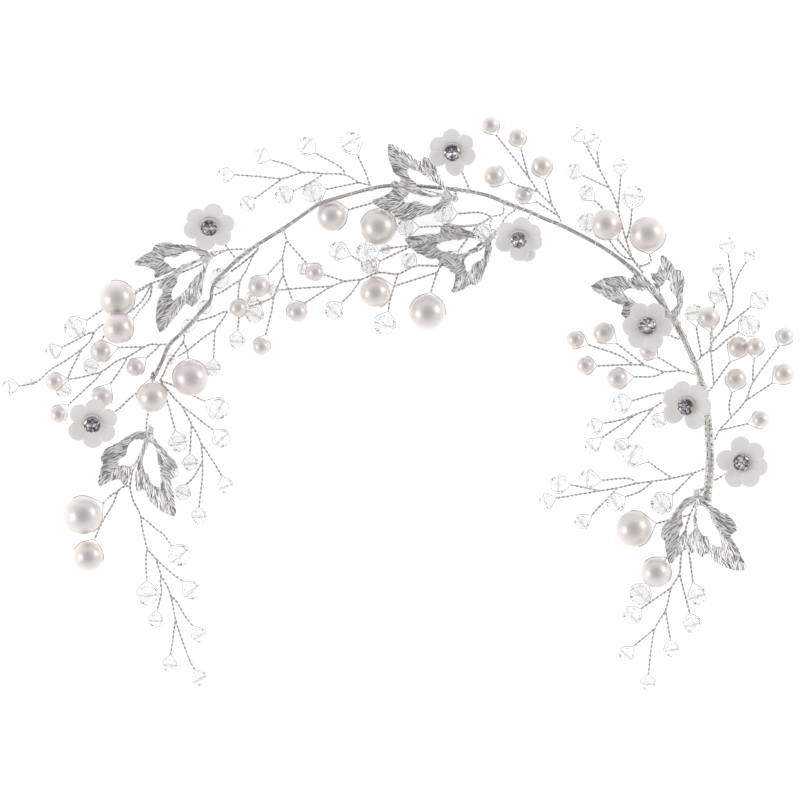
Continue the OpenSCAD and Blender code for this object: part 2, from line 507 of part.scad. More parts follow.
function ring(points, i, r, sides) =
    let (t = tangent(points, i), side = left_of(t), up = cross(t, side), wide = mitre(points, i))
    [for (k = [0:sides - 1]) let (a = 360 * k / sides) points[i] + r * (wide * cos(a) * side + sin(a) * up)];

// Tube along a route, with a radius at each point
module tube(points, radii, sides) {
    n = len(points);
    rings = [for (i = [0:n - 1]) each ring(points, i, radii[i], sides)];
    walls = [for (i = [0:n - 2], k = [0:sides - 1])
        let (a = i * sides + k, b = i * sides + (k + 1) % sides) [a, a + sides, b + sides, b]];
    start_cap = [for (k = [0:sides - 1]) k];
    end_cap = [for (k = [sides - 1:-1:0]) (n - 1) * sides + k];
    polyhedron(points = rings, faces = concat([start_cap], walls, [end_cap]));
}

stem_points = [for (p = stem_route) at(p.x, p.y, stem_h + (len(p) > 3 ? p[3] : 0))];

// Radius of the ring that a sprig's root makes round the stem
function root_r(i) = (stem_route[i][2] + twig_d) / 2 + wire_gap;

function root_point(i, side) = stem_points[i] + side * root_r(i) * left_of(tangent(stem_points, i));

// Ring of round wire about a point, square to a direction
module wire_ring(centre, along, r, d) {
    translate(centre)
        rotate([0, acos(along.z / norm(along)), atan2(along.y, along.x)])
            rotate_extrude($fn = 32)
                translate([r, 0])
                    circle(d = d, $fn = 16);
}

// Direction that a flower faces
function flower_axis(f) = [sin(f[3]) * cos(f[4]), sin(f[3]) * sin(f[4]), cos(f[3])];

function flower_foot(f) = at(f[0], f[1], f[2]);

hub_t = petal_t;
post_bore_d = post_d + 2 * wire_gap;
eye_r = (post_d + loop_d) / 2 + wire_gap;
// How far a flower's eye lies under it, so that the twig clears the petals
eye_drop = twig_d + 2 * wire_gap;
function eye_centre(f) = flower_foot(f) - eye_drop * flower_axis(f);

tie_d = loop_d;
tie_r = 1.1;
// Direction from a leaf's eyelet away from its leaflets
function leaf_back(l) =
    unit(2 * at(l[0], l[1], 0) - at(l[2], l[3], 0) - at(l[4], l[5], 0));

function leaf_at(row) = [for (l = leaves) if (l[0] == row[2] && l[1] == row[3]) l][0];

// Where a strand ends, before its bead, tie or eye
function strand_end(row, next) =
    row[0] == TIE ? at(row[2], row[3], row[4]) + 2 * tie_r * leaf_back(leaf_at(row))
    : row[0] == EYE ? let (c = eye_centre(flowers[row[1]]), n = flower_axis(flowers[row[1]]), d = next - c)
        c + (eye_r + loop_d / 4) * unit(d - (d * n) * n)
    : row[0] == BARE ? at(row[2], row[3], row[4])
    : fork(row);

function bead_centre(row) = at(row[2], row[3], row[4]);

// A crystal's length, and how far apart its slanting facets lie, as shares of its size
table_share = 0.98;
slant_share = 1.03;
// Radius of the wire's path round a bead. A crystal's corners stand out from its flats.
function round_bead(row) =
    row[1] / 2 * (row[0] == CRYSTAL ? norm([1, slant_share * sqrt(2) - 1]) : 1) + wire_gap + loop_d / 2;

// Where the two ends of a bead's loop meet the twig
function fork(row) =
    let (c = bead_centre(row), f = at(row[5][0].x, row[5][0].y, row[4]))
    c + unit(f - c) * max(norm(f - c), round_bead(row) + twig_d / 2);

// Path of the loop: out along one side of the bead, through its bore, and back
function loop_path(row, corners) =
    let (c = bead_centre(row), f = fork(row), u = unit(f - c), side = left_of(u), r = round_bead(row),
         touch = acos(r / norm(f - c)), turn = (90 - touch) / corners,
         half = [for (i = [0:corners - 1]) let (a = touch + (i + 0.5) * turn, d = r / cos(turn / 2))
             [d * cos(a), d * sin(a)]])
    concat([for (p = half) c + u * p.x + side * p.y], [c + side * r, c - side * r],
           [for (i = [corners - 1:-1:0]) c + u * half[i].x - side * half[i].y]);

function is_bead(row) = row[0] == GRAND || row[0] == PEARL || row[0] == CRYSTAL;

function route_point(p, root, side, level) =
    len(p) == 0 ? root_point(root, side) : at(p.x, p.y, len(p) > 2 ? p.z : level);

// The strand's points from its end to where it joins. A bead's fork stands for its first point.
function strand_points(row, root, side, level) =
    let (rest = [for (i = [(is_bead(row) ? 1 : 0):len(row[5]) - 1])
        route_point(row[5][i], root, side, level)])
    concat([strand_end(row, rest[0])], rest);

// A bead under this size has a loop with one corner a side, and a larger bead two
plain_loop_size = 3.5;
// How far from the fork a loop's wire leaves the twig, and how far in it comes home, in twig thicknesses
neck_out = 0.9;
neck_home = 0.4;

// One strand: a twig from where it joins to its end, then a loop, tie or eye
module strand(row, root, side, level) {
    twig = strand_points(row, root, side, level);
    back = [for (i = [len(twig) - 1:-1:0]) twig[i]];
    twig_radii = [for (p = back) twig_d / 2];
    if (is_bead(row)) {
        f = twig[0];
        loop = loop_path(row, row[1] > plain_loop_size ? 2 : 1);
        out = f + neck_out * twig_d * unit(loop[0] - f);
        home = f + neck_home * twig_d * unit(twig[1] - f);
        tube(concat(back, [out], loop, [home]),
            concat(twig_radii, [for (i = [0:len(loop) + 1]) loop_d / 2]), 5);
    } else
        tube(back, twig_radii, 5);
    if (row[0] == TIE) {
        b = leaf_back(leaf_at(row));
        wire_ring(at(row[2], row[3], row[4]) + tie_r * b, left_of(b), tie_r, tie_d);
    }
    if (row[0] == EYE)
        wire_ring(eye_centre(flowers[row[1]]), flower_axis(flowers[row[1]]), eye_r, loop_d);
}

module sprig_wires(parts) color("silver") {
    for (part = parts) {
        wire_ring(stem_points[part[0]], tangent(stem_points, part[0]), root_r(part[0]), twig_d);
        for (row = part[3])
            strand(row, part[0], part[1], part[2]);
    }
}

module stem() color("silver")
    tube(stem_points, [for (p = stem_route) p[2] / 2], 8);

binding_gap = 0.12;
// Turns of binding wire between the sprigs' roots, but none where a crystal is strung
bare_stretches = [5, 7, 9, 17];
module stem_binding() color("whitesmoke") {
    for (i = [1:len(stem_route) - 2])
        if (len(search(i, bare_stretches)) == 0) {
            thick = max(stem_route[i][2], stem_route[i + 1][2]);
            wire_ring((stem_points[i] + stem_points[i + 1]) / 2, stem_points[i + 1] - stem_points[i],
                (thick + binding_d) / 2 + binding_gap, binding_d);
        }
}

module turned_to(u) rotate([0, 0, atan2(u.y, u.x)]) rotate([90, 0, 0]) children();

module pearl(row) color("ivory")
    translate(bead_centre(row))
        turned_to(fork(row) - bead_centre(row))
            difference() {
                sphere(d = row[1], $fn = 48);
                cylinder(d = bore_d, h = row[1] + 2, center = true, $fn = 24);
            }

// Prism with eight sides along Z, with its flats at a distance
module eight_sides(flats, h)
    rotate([0, 0, 22.5])
        cylinder(d = flats / cos(22.5), h = h, center = true, $fn = 8);

// Faceted bead with its bore along Z: eight sides, and a table and slanting facets at each end
module faceted(size, bore)
    difference() {
        intersection() {
            eight_sides(size, table_share * size);
            rotate([90, 0, 0])
                eight_sides(slant_share * size, 2 * size);
            rotate([0, 90, 0])
                eight_sides(slant_share * size, 2 * size);
        }
        cylinder(d = bore, h = size + 2, center = true, $fn = 24);
    }

module crystal(row) color("lightcyan")
    translate(bead_centre(row))
        turned_to(fork(row) - bead_centre(row))
            faceted(row[1], bore_d);

module strung_crystal(s) color("lightcyan") {
    u = at(s[3], s[4], 0) - at(s[1], s[2], 0);
    translate(at(s[1], s[2], s[5]))
        rotate([0, 90, atan2(u.y, u.x)])
            faceted(s[0], s[6] + 2 * wire_gap);
}

function in_group(x, g) =
    let (share = (x - sheet_mid.x) / sheet_steps + 0.5) share >= g[2] && share < g[3];

module bead_group(g) {
    for (row = all_rows(g[1]))
        if (in_group(row[2], g)) {
            if (g[1] == PEARL) pearl(row);
            else crystal(row);
        }
    if (g[1] == CRYSTAL)
        for (s = strung)
            if (in_group(s[1], g)) strung_crystal(s);
}

// Moves a flower's piece from about its own foot to its place
module at_flower(f) translate(flower_foot(f)) rotate([0, f[3], f[4]]) rotate([0, 0, f[5] - f[4]]) children();

stone_gap = 0.12;
// Flat in a flower's middle that the cup stands on
seat_r = stone_d / 2 + stone_gap + cup_t + wire_gap;

// Share of a petal's rise at the middle of its round end, and shares of its thickness: at its rim, and
// across the groove between two petals
bend_share = 0.42;
rim_share = 0.6;
groove_share = 0.5;

// Six petals with round ends, thin at the rim, cupped, with a groove between each two
module flower(f) color("whitesmoke") at_flower(f) {
    reach = petal_reach * f[6];
    round_r = petal_r * f[6];
    bend = bend_share * petal_rise;
    difference() {
        intersection() {
            rotate_extrude($fn = 60)
                polygon([[0, 0], [seat_r, 0], [reach, bend], [reach + round_r, petal_rise],
                    [reach + round_r, petal_rise + rim_share * petal_t], [reach, bend + petal_t],
                    [seat_r, petal_t], [0, petal_t]]);
            linear_extrude(2 * petal_rise + 2 * petal_t)
                union() {
                    circle(r = reach, $fn = 36);
                    for (k = [0:5])
                        rotate(60 * k)
                            translate([reach, 0])
                                circle(r = round_r, $fn = 36);
                }
        }
        for (k = [0:5])
            rotate([0, 0, 60 * k + 30])
                translate([seat_r, 0, petal_t])
                    rotate([0, 90 - atan2(bend, reach - seat_r), 0])
                        cylinder(d = groove_share * petal_t, h = reach + round_r, $fn = 16);
        translate([0, 0, -1])
            cylinder(d = post_bore_d, h = petal_t + 2, $fn = 24);
    }
}

cup_floor = 0.4;
cup_wall_h = 1.0;
cup_foot = petal_t + wire_gap;

module cups() color("silver") {
    for (f = flowers) at_flower(f) {
        post_end = -eye_drop - loop_d - wire_gap;
        translate([0, 0, post_end])
            cylinder(d = post_d, h = cup_foot + cup_floor / 2 - post_end, $fn = 24);
        difference() {
            translate([0, 0, cup_foot])
                cylinder(d = stone_d + 2 * (stone_gap + cup_t), h = cup_floor + cup_wall_h, $fn = 36);
            translate([0, 0, cup_foot + cup_floor])
                cylinder(d = stone_d + 2 * stone_gap, h = cup_wall_h + 1, $fn = 36);
        }
    }
}

// Radius and height of a stone's table, its girdle's top and its girdle's foot, and the depth of its
// point, as shares of its width
stone_profile = [[0.27, 0.36], [0.5, 0.2], [0.5, 0.14]];
stone_point = 0.12;

// Cut stone: point below, girdle, eight crown facets and a table
module rhinestone(f) color("lightgrey") {
    sides = 8;
    rings = [for (q = stone_profile, k = [0:sides - 1]) let (a = 360 * k / sides)
        stone_d * [q[0] * cos(a), q[0] * sin(a), q[1]]];
    tip = [0, 0, -stone_point * stone_d];
    bands = [for (j = [0:1], k = [0:sides - 1]) let (m = (k + 1) % sides)
        [j * sides + k, j * sides + m, (j + 1) * sides + m, (j + 1) * sides + k]];
    point = [for (k = [0:sides - 1]) [2 * sides + k, 2 * sides + (k + 1) % sides, 3 * sides]];
    at_flower(f)
        translate([0, 0, cup_foot + cup_floor + stone_gap + stone_point * stone_d])
            polyhedron(points = concat(rings, [tip]),
                faces = concat([[for (k = [sides - 1:-1:0]) k]], bands, point));
}

rib_slant = 28;
rib_w = rib_pitch * 0.5;
rib_reach = 20;
rib_lead = 6;
eyelet_wall = 0.65;

function turn_of(l, tip) = let (d = at(tip.x, tip.y, 0) - at(l[0], l[1], 0)) atan2(d.y, d.x);

// One leaflet in the plane, laid from the eyelet to its tip, with its first side away from the other
module leaflet(l, tip, side, outline, opening) {
    d = at(tip.x, tip.y, 0) - at(l[0], l[1], 0);
    rotate(turn_of(l, tip))
        mirror([0, side > 0 ? 0 : 1])
            scale([norm(d) / leaflet_steps, norm(d) / leaflet_steps * l[7]])
                difference() {
                    polygon(outline);
                    polygon(opening);
                }
}

// Slanting bars that the ribs are cut from, out from a leaflet's line on both sides. They cross on it.
module rib_bars(l, tip) {
    length = norm(at(tip.x, tip.y, 0) - at(l[0], l[1], 0));
    rotate(turn_of(l, tip))
        for (i = [-rib_lead:floor(length / rib_pitch)], s = [-1, 1])
            translate([i * rib_pitch, 0])
                rotate(s * rib_slant)
                    translate([-rib_w, s > 0 ? 0 : -rib_w])
                        square([rib_reach, rib_w]);
}

module leaf_side(l, is_long, turn) {
    if (is_long) leaflet(l, [l[2], l[3]], turn, long_outline, long_opening);
    else leaflet(l, [l[4], l[5]], -turn, short_outline, short_opening);
}

module leaf(l) color("silver") {
    // 1 where the long leaflet lies counter-clockwise of the short one
    turn = sin(turn_of(l, [l[2], l[3]]) - turn_of(l, [l[4], l[5]])) > 0 ? 1 : -1;
    c = at(l[0], l[1], l[6] - leaf_t / 2);
    difference() {
        translate(c)
            union() {
                linear_extrude(leaf_t)
                    union() {
                        leaf_side(l, true, turn);
                        leaf_side(l, false, turn);
                        circle(d = eyelet_d + 2 * eyelet_wall, $fn = 24);
                    }
                for (is_long = [true, false])
                    linear_extrude(leaf_t + rib_h)
                        intersection() {
                            leaf_side(l, is_long, turn);
                            rib_bars(l, is_long ? [l[2], l[3]] : [l[4], l[5]]);
                            difference() {
                                circle(r = 2 * rib_reach, $fn = 24);
                                circle(r = eyelet_d + 2 * eyelet_wall, $fn = 24);
                            }
                        }
            }
        translate(c - [0, 0, 1])
            cylinder(d = eyelet_d, h = leaf_t + rib_h + 2, $fn = 24);
    }
}

stem();
stem_binding();
cups();
for (s = SPRIGS)
    sprig_wires(s[1]);
for (i = [1:len(leaves)])
    leaf(leaves[i - 1]);
for (i = [1:len(flowers)])
    flower(flowers[i - 1]);
for (i = [1:len(flowers)])
    rhinestone(flowers[i - 1]);
for (i = [1:PEARL_COUNT])
    pearl(all_rows(GRAND)[i - 1]);
for (g = BEAD_GROUPS)
    bead_group(g);
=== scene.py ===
import random
from math import acos, asin, cos, hypot, pi, radians, sin, sqrt, tan

import bmesh
import bpy
import numpy as np
from mathutils import Matrix, Vector
from numpy.linalg import norm


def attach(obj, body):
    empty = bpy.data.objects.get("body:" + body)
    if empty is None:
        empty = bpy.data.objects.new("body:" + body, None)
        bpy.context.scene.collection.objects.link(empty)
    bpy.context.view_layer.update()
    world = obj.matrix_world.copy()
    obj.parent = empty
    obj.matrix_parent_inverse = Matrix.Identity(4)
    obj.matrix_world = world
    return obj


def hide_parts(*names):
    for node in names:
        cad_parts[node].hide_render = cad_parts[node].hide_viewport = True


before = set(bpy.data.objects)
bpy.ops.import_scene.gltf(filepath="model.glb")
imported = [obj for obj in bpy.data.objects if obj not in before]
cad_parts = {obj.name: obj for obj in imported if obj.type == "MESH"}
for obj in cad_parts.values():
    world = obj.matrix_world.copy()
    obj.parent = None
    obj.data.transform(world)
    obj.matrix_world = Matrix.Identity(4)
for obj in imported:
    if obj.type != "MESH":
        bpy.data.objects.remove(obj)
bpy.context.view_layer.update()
rnd = random.Random(5)
MM = 0.001

# The vine's named sizes in millimetres, as in the solids
vine_w, stem_h = 238.0, 5.2
stem_thin_d, stem_d, stem_thick_d = 1.0, 1.3, 2.6
twig_d, loop_d, bore_d, wire_gap = 0.66, 0.32, 0.8, 0.15
pearl_grand, pearl_large, pearl_wide, pearl_mid, pearl_small = 11.7, 10.8, 9.1, 6.4, 5.4
crystal_large, crystal_mid, crystal_small, crystal_tiny = 6.0, 5.0, 4.1, 3.0
petal_reach, petal_r, petal_t, petal_rise = 4.3, 3.3, 1.0, 1.5
stone_d, stone_gap, cup_floor, post_d = 4.8, 0.12, 0.4, 0.8
leaf_t, eyelet_d, eyelet_wall, tie_r = 0.8, 1.2, 0.65, 1.1

# Places are in steps of a layout that is as wide as the vine, x to the right and y down
LAYOUT_W, MID_X, MID_Y = 793, 398.5, 403.5
STEP = vine_w / LAYOUT_W

# What a strand ends in, and for beads its size too
GRAND, PEARL, CRYSTAL, BARE, TIE, EYE = range(6)
BALL_XL, BALL_L, BALL_W = ((GRAND, d) for d in (pearl_grand, pearl_large, pearl_wide))
BALL_M, BALL_S = ((PEARL, d) for d in (pearl_mid, pearl_small))
CUT_L, CUT_M = (CRYSTAL, crystal_large), (CRYSTAL, crystal_mid)
CUT_S, CUT_T = (CRYSTAL, crystal_small), (CRYSTAL, crystal_tiny)
ROOT = []                  # the place where a stalk leaves the stem
OUTER, INNER = 1, -1       # the stem's sides

# The stem by thickness, from its left end. A third number is how far it rises over its height.
stem_route = [[x, y, d, *rise] for d, points in (
    (stem_thin_d, ((152.5,380), (156,373), (162,361), (168.5,346), (176,338), (182,332.5), (195,319),
     (199,314), (210.5,300), (212.5,287), (227,269.5))),
    (stem_d, ((237,260), (247,252), (257,245), (269,237.5), (282.5,229,0.6), (300,217,1.6),
     (319.5,204,2.4), (344,196,2.4), (358,192,1.5), (371,188.5,0.7), (384,186), (400,185.5), (415,186),
     (430,187), (445,188.5), (456,189.5), (468,191), (484,194.5), (496,198.5), (505,202.5), (516,207),
     (531,212.5), (545,219), (559.4,224.5), (574.5,232), (588,239), (602,247), (620,259.4))),
    ((stem_d + stem_thick_d) / 2, ((639.6,276), (650,288), (660,300), (669,314), (676.3,325), (683,337),
     (690,352), (694.5,362), (698.5,373), (701.5,383))),
    (stem_thick_d, ((703.5,392), (705,401), (706.5,412), (708,425), (709,440), (709.8,456), (709.8,469),
     (709,480), (708,490), (707,501)))
) for x, y, *rise in points]

SPRIGS = {}      # the stalks of each sprig: stem point, side, level, strands


def stalk(sprig, point, side, level, strands):
    SPRIGS.setdefault(sprig, []).append((point, side, level, strands))


# A strand is a bead, its x, y and height, or the number of a leaf or a flower, and a route to another
# strand or the stem. A bead's route starts at the fork, where its loop closes, and as high as the bead.
# A point without a height of its own has the stalk's level.
stalk("left_top", 12, OUTER, 4, [
    [*BALL_L, 116.5, 298.5, 7, [[134.5,292], [152,283], [170,277], [205,262], [215,255.5], [228,250],
     ROOT]],
    [TIE, 1, [[228,250]]],
    [*CUT_L, 74, 328, 3.4, [[86.5,320.5], [101,311,1.2], [134,294,1.2], [152,283]]],
    [*BALL_W, 118, 328.5, 11.6, [[131,321], [140,310,8], [150,297], [152,283]]],
    [*CUT_S, 9, 386.5, 3, [[18,386], [23,385.5,3], [37,381.5,3], [50,370], [65,361], [82,348.5],
     [90,341], [94,333], [101,326,2.5], [120,318,1.2], [140,303,1.4], [152,283]]],
    [*CUT_S, 52, 352, 3, [[61.5,347.5], [78,339], [91,332.5], [94,333]]],
    [*CUT_S, 63, 391, 2.1, [[67.5,379], [71,370], [76,360], [82,348.5]]],
    [*CUT_S, 91, 367, 2.2, [[93.5,359], [98,348,1.2], [104,336,1.2], [120,318,1.2]]]
])
stalk("left_side", 3, OUTER, 4.8, [
    [*BALL_S, 54, 381.5, 5.7, [[67.5,379.5], [78,378], [90,375], [102,371.5], [117,361], [128,356.5],
     [136,352], [144,347], [150,344.5], [160,344.5], ROOT]],
    [*BALL_S, 135, 367.5, 4.4, [[146,358], [155,350], [160,344.5]]],
    [*BALL_M, 100.5, 351.5, 5.2, [[118,347.5], [144,347]]],
    [*BALL_M, 101.5, 397.5, 3.8, [[110,384], [120,370], [128,356.5]]],
    [*BALL_S, 58, 414.5, 3.4, [[68,405], [83,391], [95,380], [102,371.5]]]
])
stalk("left_low", 1, OUTER, 2.5, [
    [*CUT_S, 200, 679, 2.6, [[195,670], [190,661], [185,648], [178,628], [175.5,619], [174,612],
     [170.5,595], [168,588], [161,575], [158,566], [155,558], [147.5,549], [144.5,538], [142,527],
     [140.5,516], [137,508], [133,500], [130,487], [131,480], [133,470], [141,452], [146,436],
     [146.5,425], [148,413,1.2], [150,400,1.2], [151,389,1.6], ROOT]],
    [TIE, 0, [[146.5,425]]],
    [*BALL_W, 152, 397.5, 6.7, [[150.5,379], ROOT]],
    [*BALL_XL, 82.5, 515.5, 5.85, [[103,503.5], [111,495.5], [119,490]]],
    [*BALL_W, 88, 556.5, 4.55, [[94.5,539.5], [104,519], [113,504], [119,490], [126,486], [130,487]]],
    [*CUT_L, 180, 556, 4, [[174,549], [169,542], [163,534], [156,529], [148,522], [140.5,516]]],
    [*CUT_L, 147.5, 595.5, 3.6, [[147,580.5], [146,566], [146,556], [147.5,549]]],
    [*CUT_M, 192, 591, 3.6, [[183,581.5], [168,570], [155,558]]],
    [*CUT_S, 156, 621, 2.4, [[156.5,612], [160,600], [161.5,590], [160.5,582], [161,575]]],
    [*CUT_S, 199.5, 636, 3, [[193,626], [188,620], [182,611], [176,601], [170.5,595]]],
    [*CUT_S, 170, 665.5, 2.4, [[170.5,655], [173,638], [175.5,619]]],
    [EYE, 0, [[117.5,410,4], [125,403,3.4], [136,394,1.6], [151,389,1.6]]]
])
stalk("left_inner", 5, INNER, 3, [
    [*CUT_S, 199, 517, 2.6, [[199,508], [200,498], [202.5,475], [202.5,462], [202,452], [200.5,442],
     [198,436], [191.5,424], [185,412], [181,405], [175,399], [166,388], [160.5,381], [164,373],
     [168,364], [174,355], [183,342], ROOT]],
    [*BALL_L, 190.5, 378, 5.4, [[188.5,359], [187,349], [183,342]]],
    [*CUT_M, 222, 439, 3.6, [[214,430.5], [205,424], [195,416], [181,405]]],
    [*CUT_S, 190.5, 464, 3, [[190,455], [190.5,445], [191,433], [191.5,424]]],
    [*CUT_S, 226, 486.5, 3.4, [[222.5,477], [216,466], [205,449], [200.5,442]]],
    [*CUT_S, 182.5, 493.5, 2.4, [[186,485], [193.5,477], [202.5,462]]],
    [*CUT_M, 178.5, 443.5, 3.2, [[175.5,431], [171,415], [168,404], [160.5,381]]],
    [*CUT_L, 219, 409, 3.4, [[205,401], [197,397.5,1.2], [184,391,1.2], [172,385,2], [160.5,381]]]
])
stalk("inner_left", 6, INNER, 4.9, [
    [*CUT_S, 213, 369, 2.2, [[213.5,360], [214,345], [216,329], [221,322], [226.5,311.5], [212,317],
     ROOT]],
    [BARE, 0, 177.5, 356.5, 4, [[188,350], [203,338], [216,329]]]
])
stalk("inner_left", 13, INNER, 4, [
    [*CUT_S, 236.5, 341.5, 2.6, [[237.5,331], [238.5,322,1.2], [239,310,1.2], [238,297,1.6],
     [240.5,280], [246,271], [255,252], ROOT]],
    [BARE, 0, 214.5, 295, 4, [[223,291.5,3], [232,285,3.4], [240.5,280]]]
])
stalk("inner_top", 15, INNER, 4.6, [
    [*BALL_S, 261.5, 346.5, 3.6, [[265.5,335], [271.3,312.5], [274,297], [279.4,283], [283,273.5],
     [282.7,257.6], [286,240], ROOT]],
    [*BALL_S, 315, 272.5, 5.2, [[307.5,264.3], [286,240]]],
    [*BALL_M, 258.5, 286.5, 5.6, [[267.7,275], [282.7,257.6]]],
    [*BALL_M, 297.3, 312, 4.2, [[292.8,301], [286,283], [283,273.5]]],
    [*BALL_S, 238, 308, 5, [[250,306.5], [263,302], [274,297]]],
    [*CUT_M, 254, 314.5, 2.6, [[259.5,305.5], [263,302]]],
    [*CUT_T, 250, 297, 2, [[257,300], [263,302]]]
])
stalk("top_left", 20, OUTER, 5.2, [
    [*CUT_S, 224, 175, 4, [[234,174.6], [258.2,176.3], [283,178.3], [303,172.5], [323.8,173.6],
     [345.3,175], [359.3,182.3], ROOT]],
    [*CUT_L, 350.6, 142, 4.6, [[357.3,155], [364,169], ROOT]],
    [*CUT_L, 312.5, 192.4, 3.1, [[325.8,189.3], [359.3,182.3]]],
    [*CUT_M, 305.8, 145.5, 4, [[314.5,152.5], [342.6,169], [345.3,175]]],
    [*CUT_M, 283, 195.7, 3.4, [[293,191], [303.7,185.7,6.8], [314.5,180.3,6.8], [323.8,173.6]]],
    [*CUT_S, 260.5, 155.5, 3.6, [[270.3,159.6], [286.3,164.2], [303,172.5]]],
    [*CUT_S, 246.8, 204.4, 3.2, [[254,199], [267.6,189], [283,178.3]]]
])
stalk("top_left", 22, INNER, 3.6, [
    [*BALL_W, 331.5, 216, 4.56, [[348,209.8], [369.4,203.7], [390,197], ROOT]],
    [*BALL_L, 378.3, 227.4, 5.41, [[382,208], [390,197]]]
])
stalk("middle", 31, INNER, 3, [
    [*BALL_L, 427.5, 312.5, 5.4, [[430.5,294.5], [437.3,272.5], [441,266], [457,256.5], [480.5,249.1],
     [499.5,226.6], [507,216], ROOT]],
    [TIE, 3, [[499.5,226.6]]],
    [*BALL_W, 375, 292.5, 4.55, [[393.7,286.4], [437.3,272.5]]],
    [BARE, 0, 305, 303, 3.4, [[332,286.3], [345.5,281.4], [360.8,279.3], [379.2,272.7], [397.8,274],
     [414.8,266.4], [441,266]]],
    [*CUT_L, 384.3, 325, 3.6, [[388.3,311.5], [389.5,303], [394,286.5], [397.8,274]]],
    [*CUT_M, 337.3, 250.4, 3.6, [[350.5,255.5], [362.6,262.4,0.7], [373.5,268.7,0.7], [380.5,272.8]]],
    [*CUT_M, 333.3, 311.2, 2.8, [[340.8,303.2], [350.5,294], [360.8,279.3,3.12]]],
    [*CUT_T, 301.5, 269, 1.8, [[309,270.5], [325,275,1.2], [345.5,281.4]]],
    [*CUT_T, 271, 290.5, 2, [[278.5,290], [300,288.2], [332,286.3]]],
    [*CUT_S, 408.5, 260, 5.4, [[416,265], [428,266.2]]]
])
stalk("middle_top", 30, INNER, 4.6, [
    [*CUT_M, 405.5, 227.3, 3.4, [[419,227], [438,226,7.6], [478,224.5,7.8], [492,217,7], [503,214,5.6],
     ROOT]],
    [*CUT_L, 443.3, 212.6, 3.6, [[457.3,213.6], [480.8,212.6,5], [492,217,7]]],
    [*CUT_L, 366.3, 252.3, 9.2, [[378,251], [391.5,248,9.2], [414.8,244.6,9.2], [438.3,237.8,9],
     [457.8,228.3,8.4], [478,224.5,7.8]]],
    [*CUT_M, 368.9, 265.2, 3.8, [[379,261.3], [414.8,244.6,9.2]]],
    [*CUT_M, 451.2, 260.8, 9.8, [[457.5,252], [469,236.6,8.4], [478,224.5,7.8]]],
    [*CUT_M, 482, 233.7, 10.1, [[489.5,226], [492,217,7]]]
])
stalk("top_sprig", 34, OUTER, 5, [
    [*BALL_S, 490.4, 124.8, 4, [[496,134.8], [528.8,177.6], [539,192.3], [552.4,206], [558.7,216],
     ROOT]],
    [*BALL_S, 523.6, 194.7, 2.8, [[536.3,201.6], [558.7,216]]],
    [*BALL_M, 541.8, 166, 4.6, [[545,179], [552.4,206]]],
    [*BALL_M, 494.1, 175.9, 3.6, [[509.7,181.7], [518.7,185.7,5.4], [539,192.3]]],
    [*BALL_S, 517.4, 137.2, 3.4, [[520.7,147.8], [528.8,177.6]]]
])
stalk("top_right", 39, OUTER, 3, [
    [*CUT_S, 577, 133.5, 3.4, [[583.4,141.5], [599,168.3], [609.3,188], [612,192.4], [618,209.2],
     [621.3,223], [626.3,241], [633.4,260], ROOT]],
    [*CUT_L, 633.4, 195.8, 3.8, [[632,208], [630.7,223], [626.3,241]]],
    [*CUT_S, 620, 165, 3.8, [[620.9,174.5], [618,209.2]]],
    [*CUT_S, 573.1, 171, 2.8, [[581,174.6], [609.3,188]]],
    [*CUT_S, 592.5, 140.2, 4.4, [[597.1,150.9], [599,168.3]]],
    [*CUT_S, 585.8, 192.4, 2.4, [[594.6,200.4], [602.6,209.2,1.2], [607,224,1.2], [609.6,240,1.4],
     [624,256.7], [633.4,260]]],
    [*CUT_M, 586.5, 222.5, 2.6, [[597,223.5], [607,224,1.2]]],
    [*BALL_W, 606, 224.3, 7.1, [[617,238.5], [633.4,260]]],
    [*BALL_L, 647.8, 233.9, 5.4, [[649.5,254], [650.1,262], [640,266], [633.4,260]]]
])
stalk("right_inner", 47, INNER, 4, [
    [*BALL_S, 585.3, 365.5, 3.6, [[595.5,365.8], [632.7,364.7], [645,365.5], [664.9,371.6],
     [680.9,370.8], [690,373], ROOT]],
    [*BALL_S, 648, 350.9, 2.8, [[657.2,356.7], [680.9,370.8]]],
    [*BALL_M, 617.4, 378.5, 4.4, [[633.5,376.9], [654.9,376.2], [664.9,371.6]]],
    [*BALL_M, 603.6, 332.6, 4.4, [[616.6,343.3], [645,365.5]]],
    [*BALL_S, 575.3, 339.4, 3.2, [[587.6,344.5], [621.2,356.3], [632.7,364.7]]]
])
stalk("right_outer", 46, OUTER, 4.4, [
    [*CUT_S, 726.8, 243.6, 3.4, [[728.2,253.5], [730.6,272], [733,290], [732,305], [729,311],
     [722.5,329.5], [714,339.7], [708.5,351], [701.5,356.5], ROOT]],
    [*CUT_M, 694.4, 312.8, 2.6, [[696.2,326.2], [701.5,356.5]]],
    [*CUT_L, 750, 325.3, 3.4, [[740,331], [726,340.5], [714,350.5], [708.5,351]]],
    [*CUT_M, 760, 298.9, 4, [[751.2,306.3], [722.5,329.5]]],
    [*CUT_T, 717.8, 268.3, 3.4, [[718.4,276], [720,284], [724.5,293], [729,311]]],
    [*CUT_T, 750, 254.4, 4, [[746.4,262], [738,276], [733,290]]],
    [*CUT_S, 716.4, 294, 2.4, [[714.5,303.5], [712.5,318,1.2], [712,332,1.4], [714,339.7]]]
])
stalk("right_outer", 49, OUTER, 6.2, [
    [*BALL_M, 738.3, 347, 3.4, [[730.7,361.3], [714,384.5], ROOT]],
    [*BALL_M, 708.5, 317.3, 7.1, [[710.7,332], [711,352], [714,384.5]]]
])
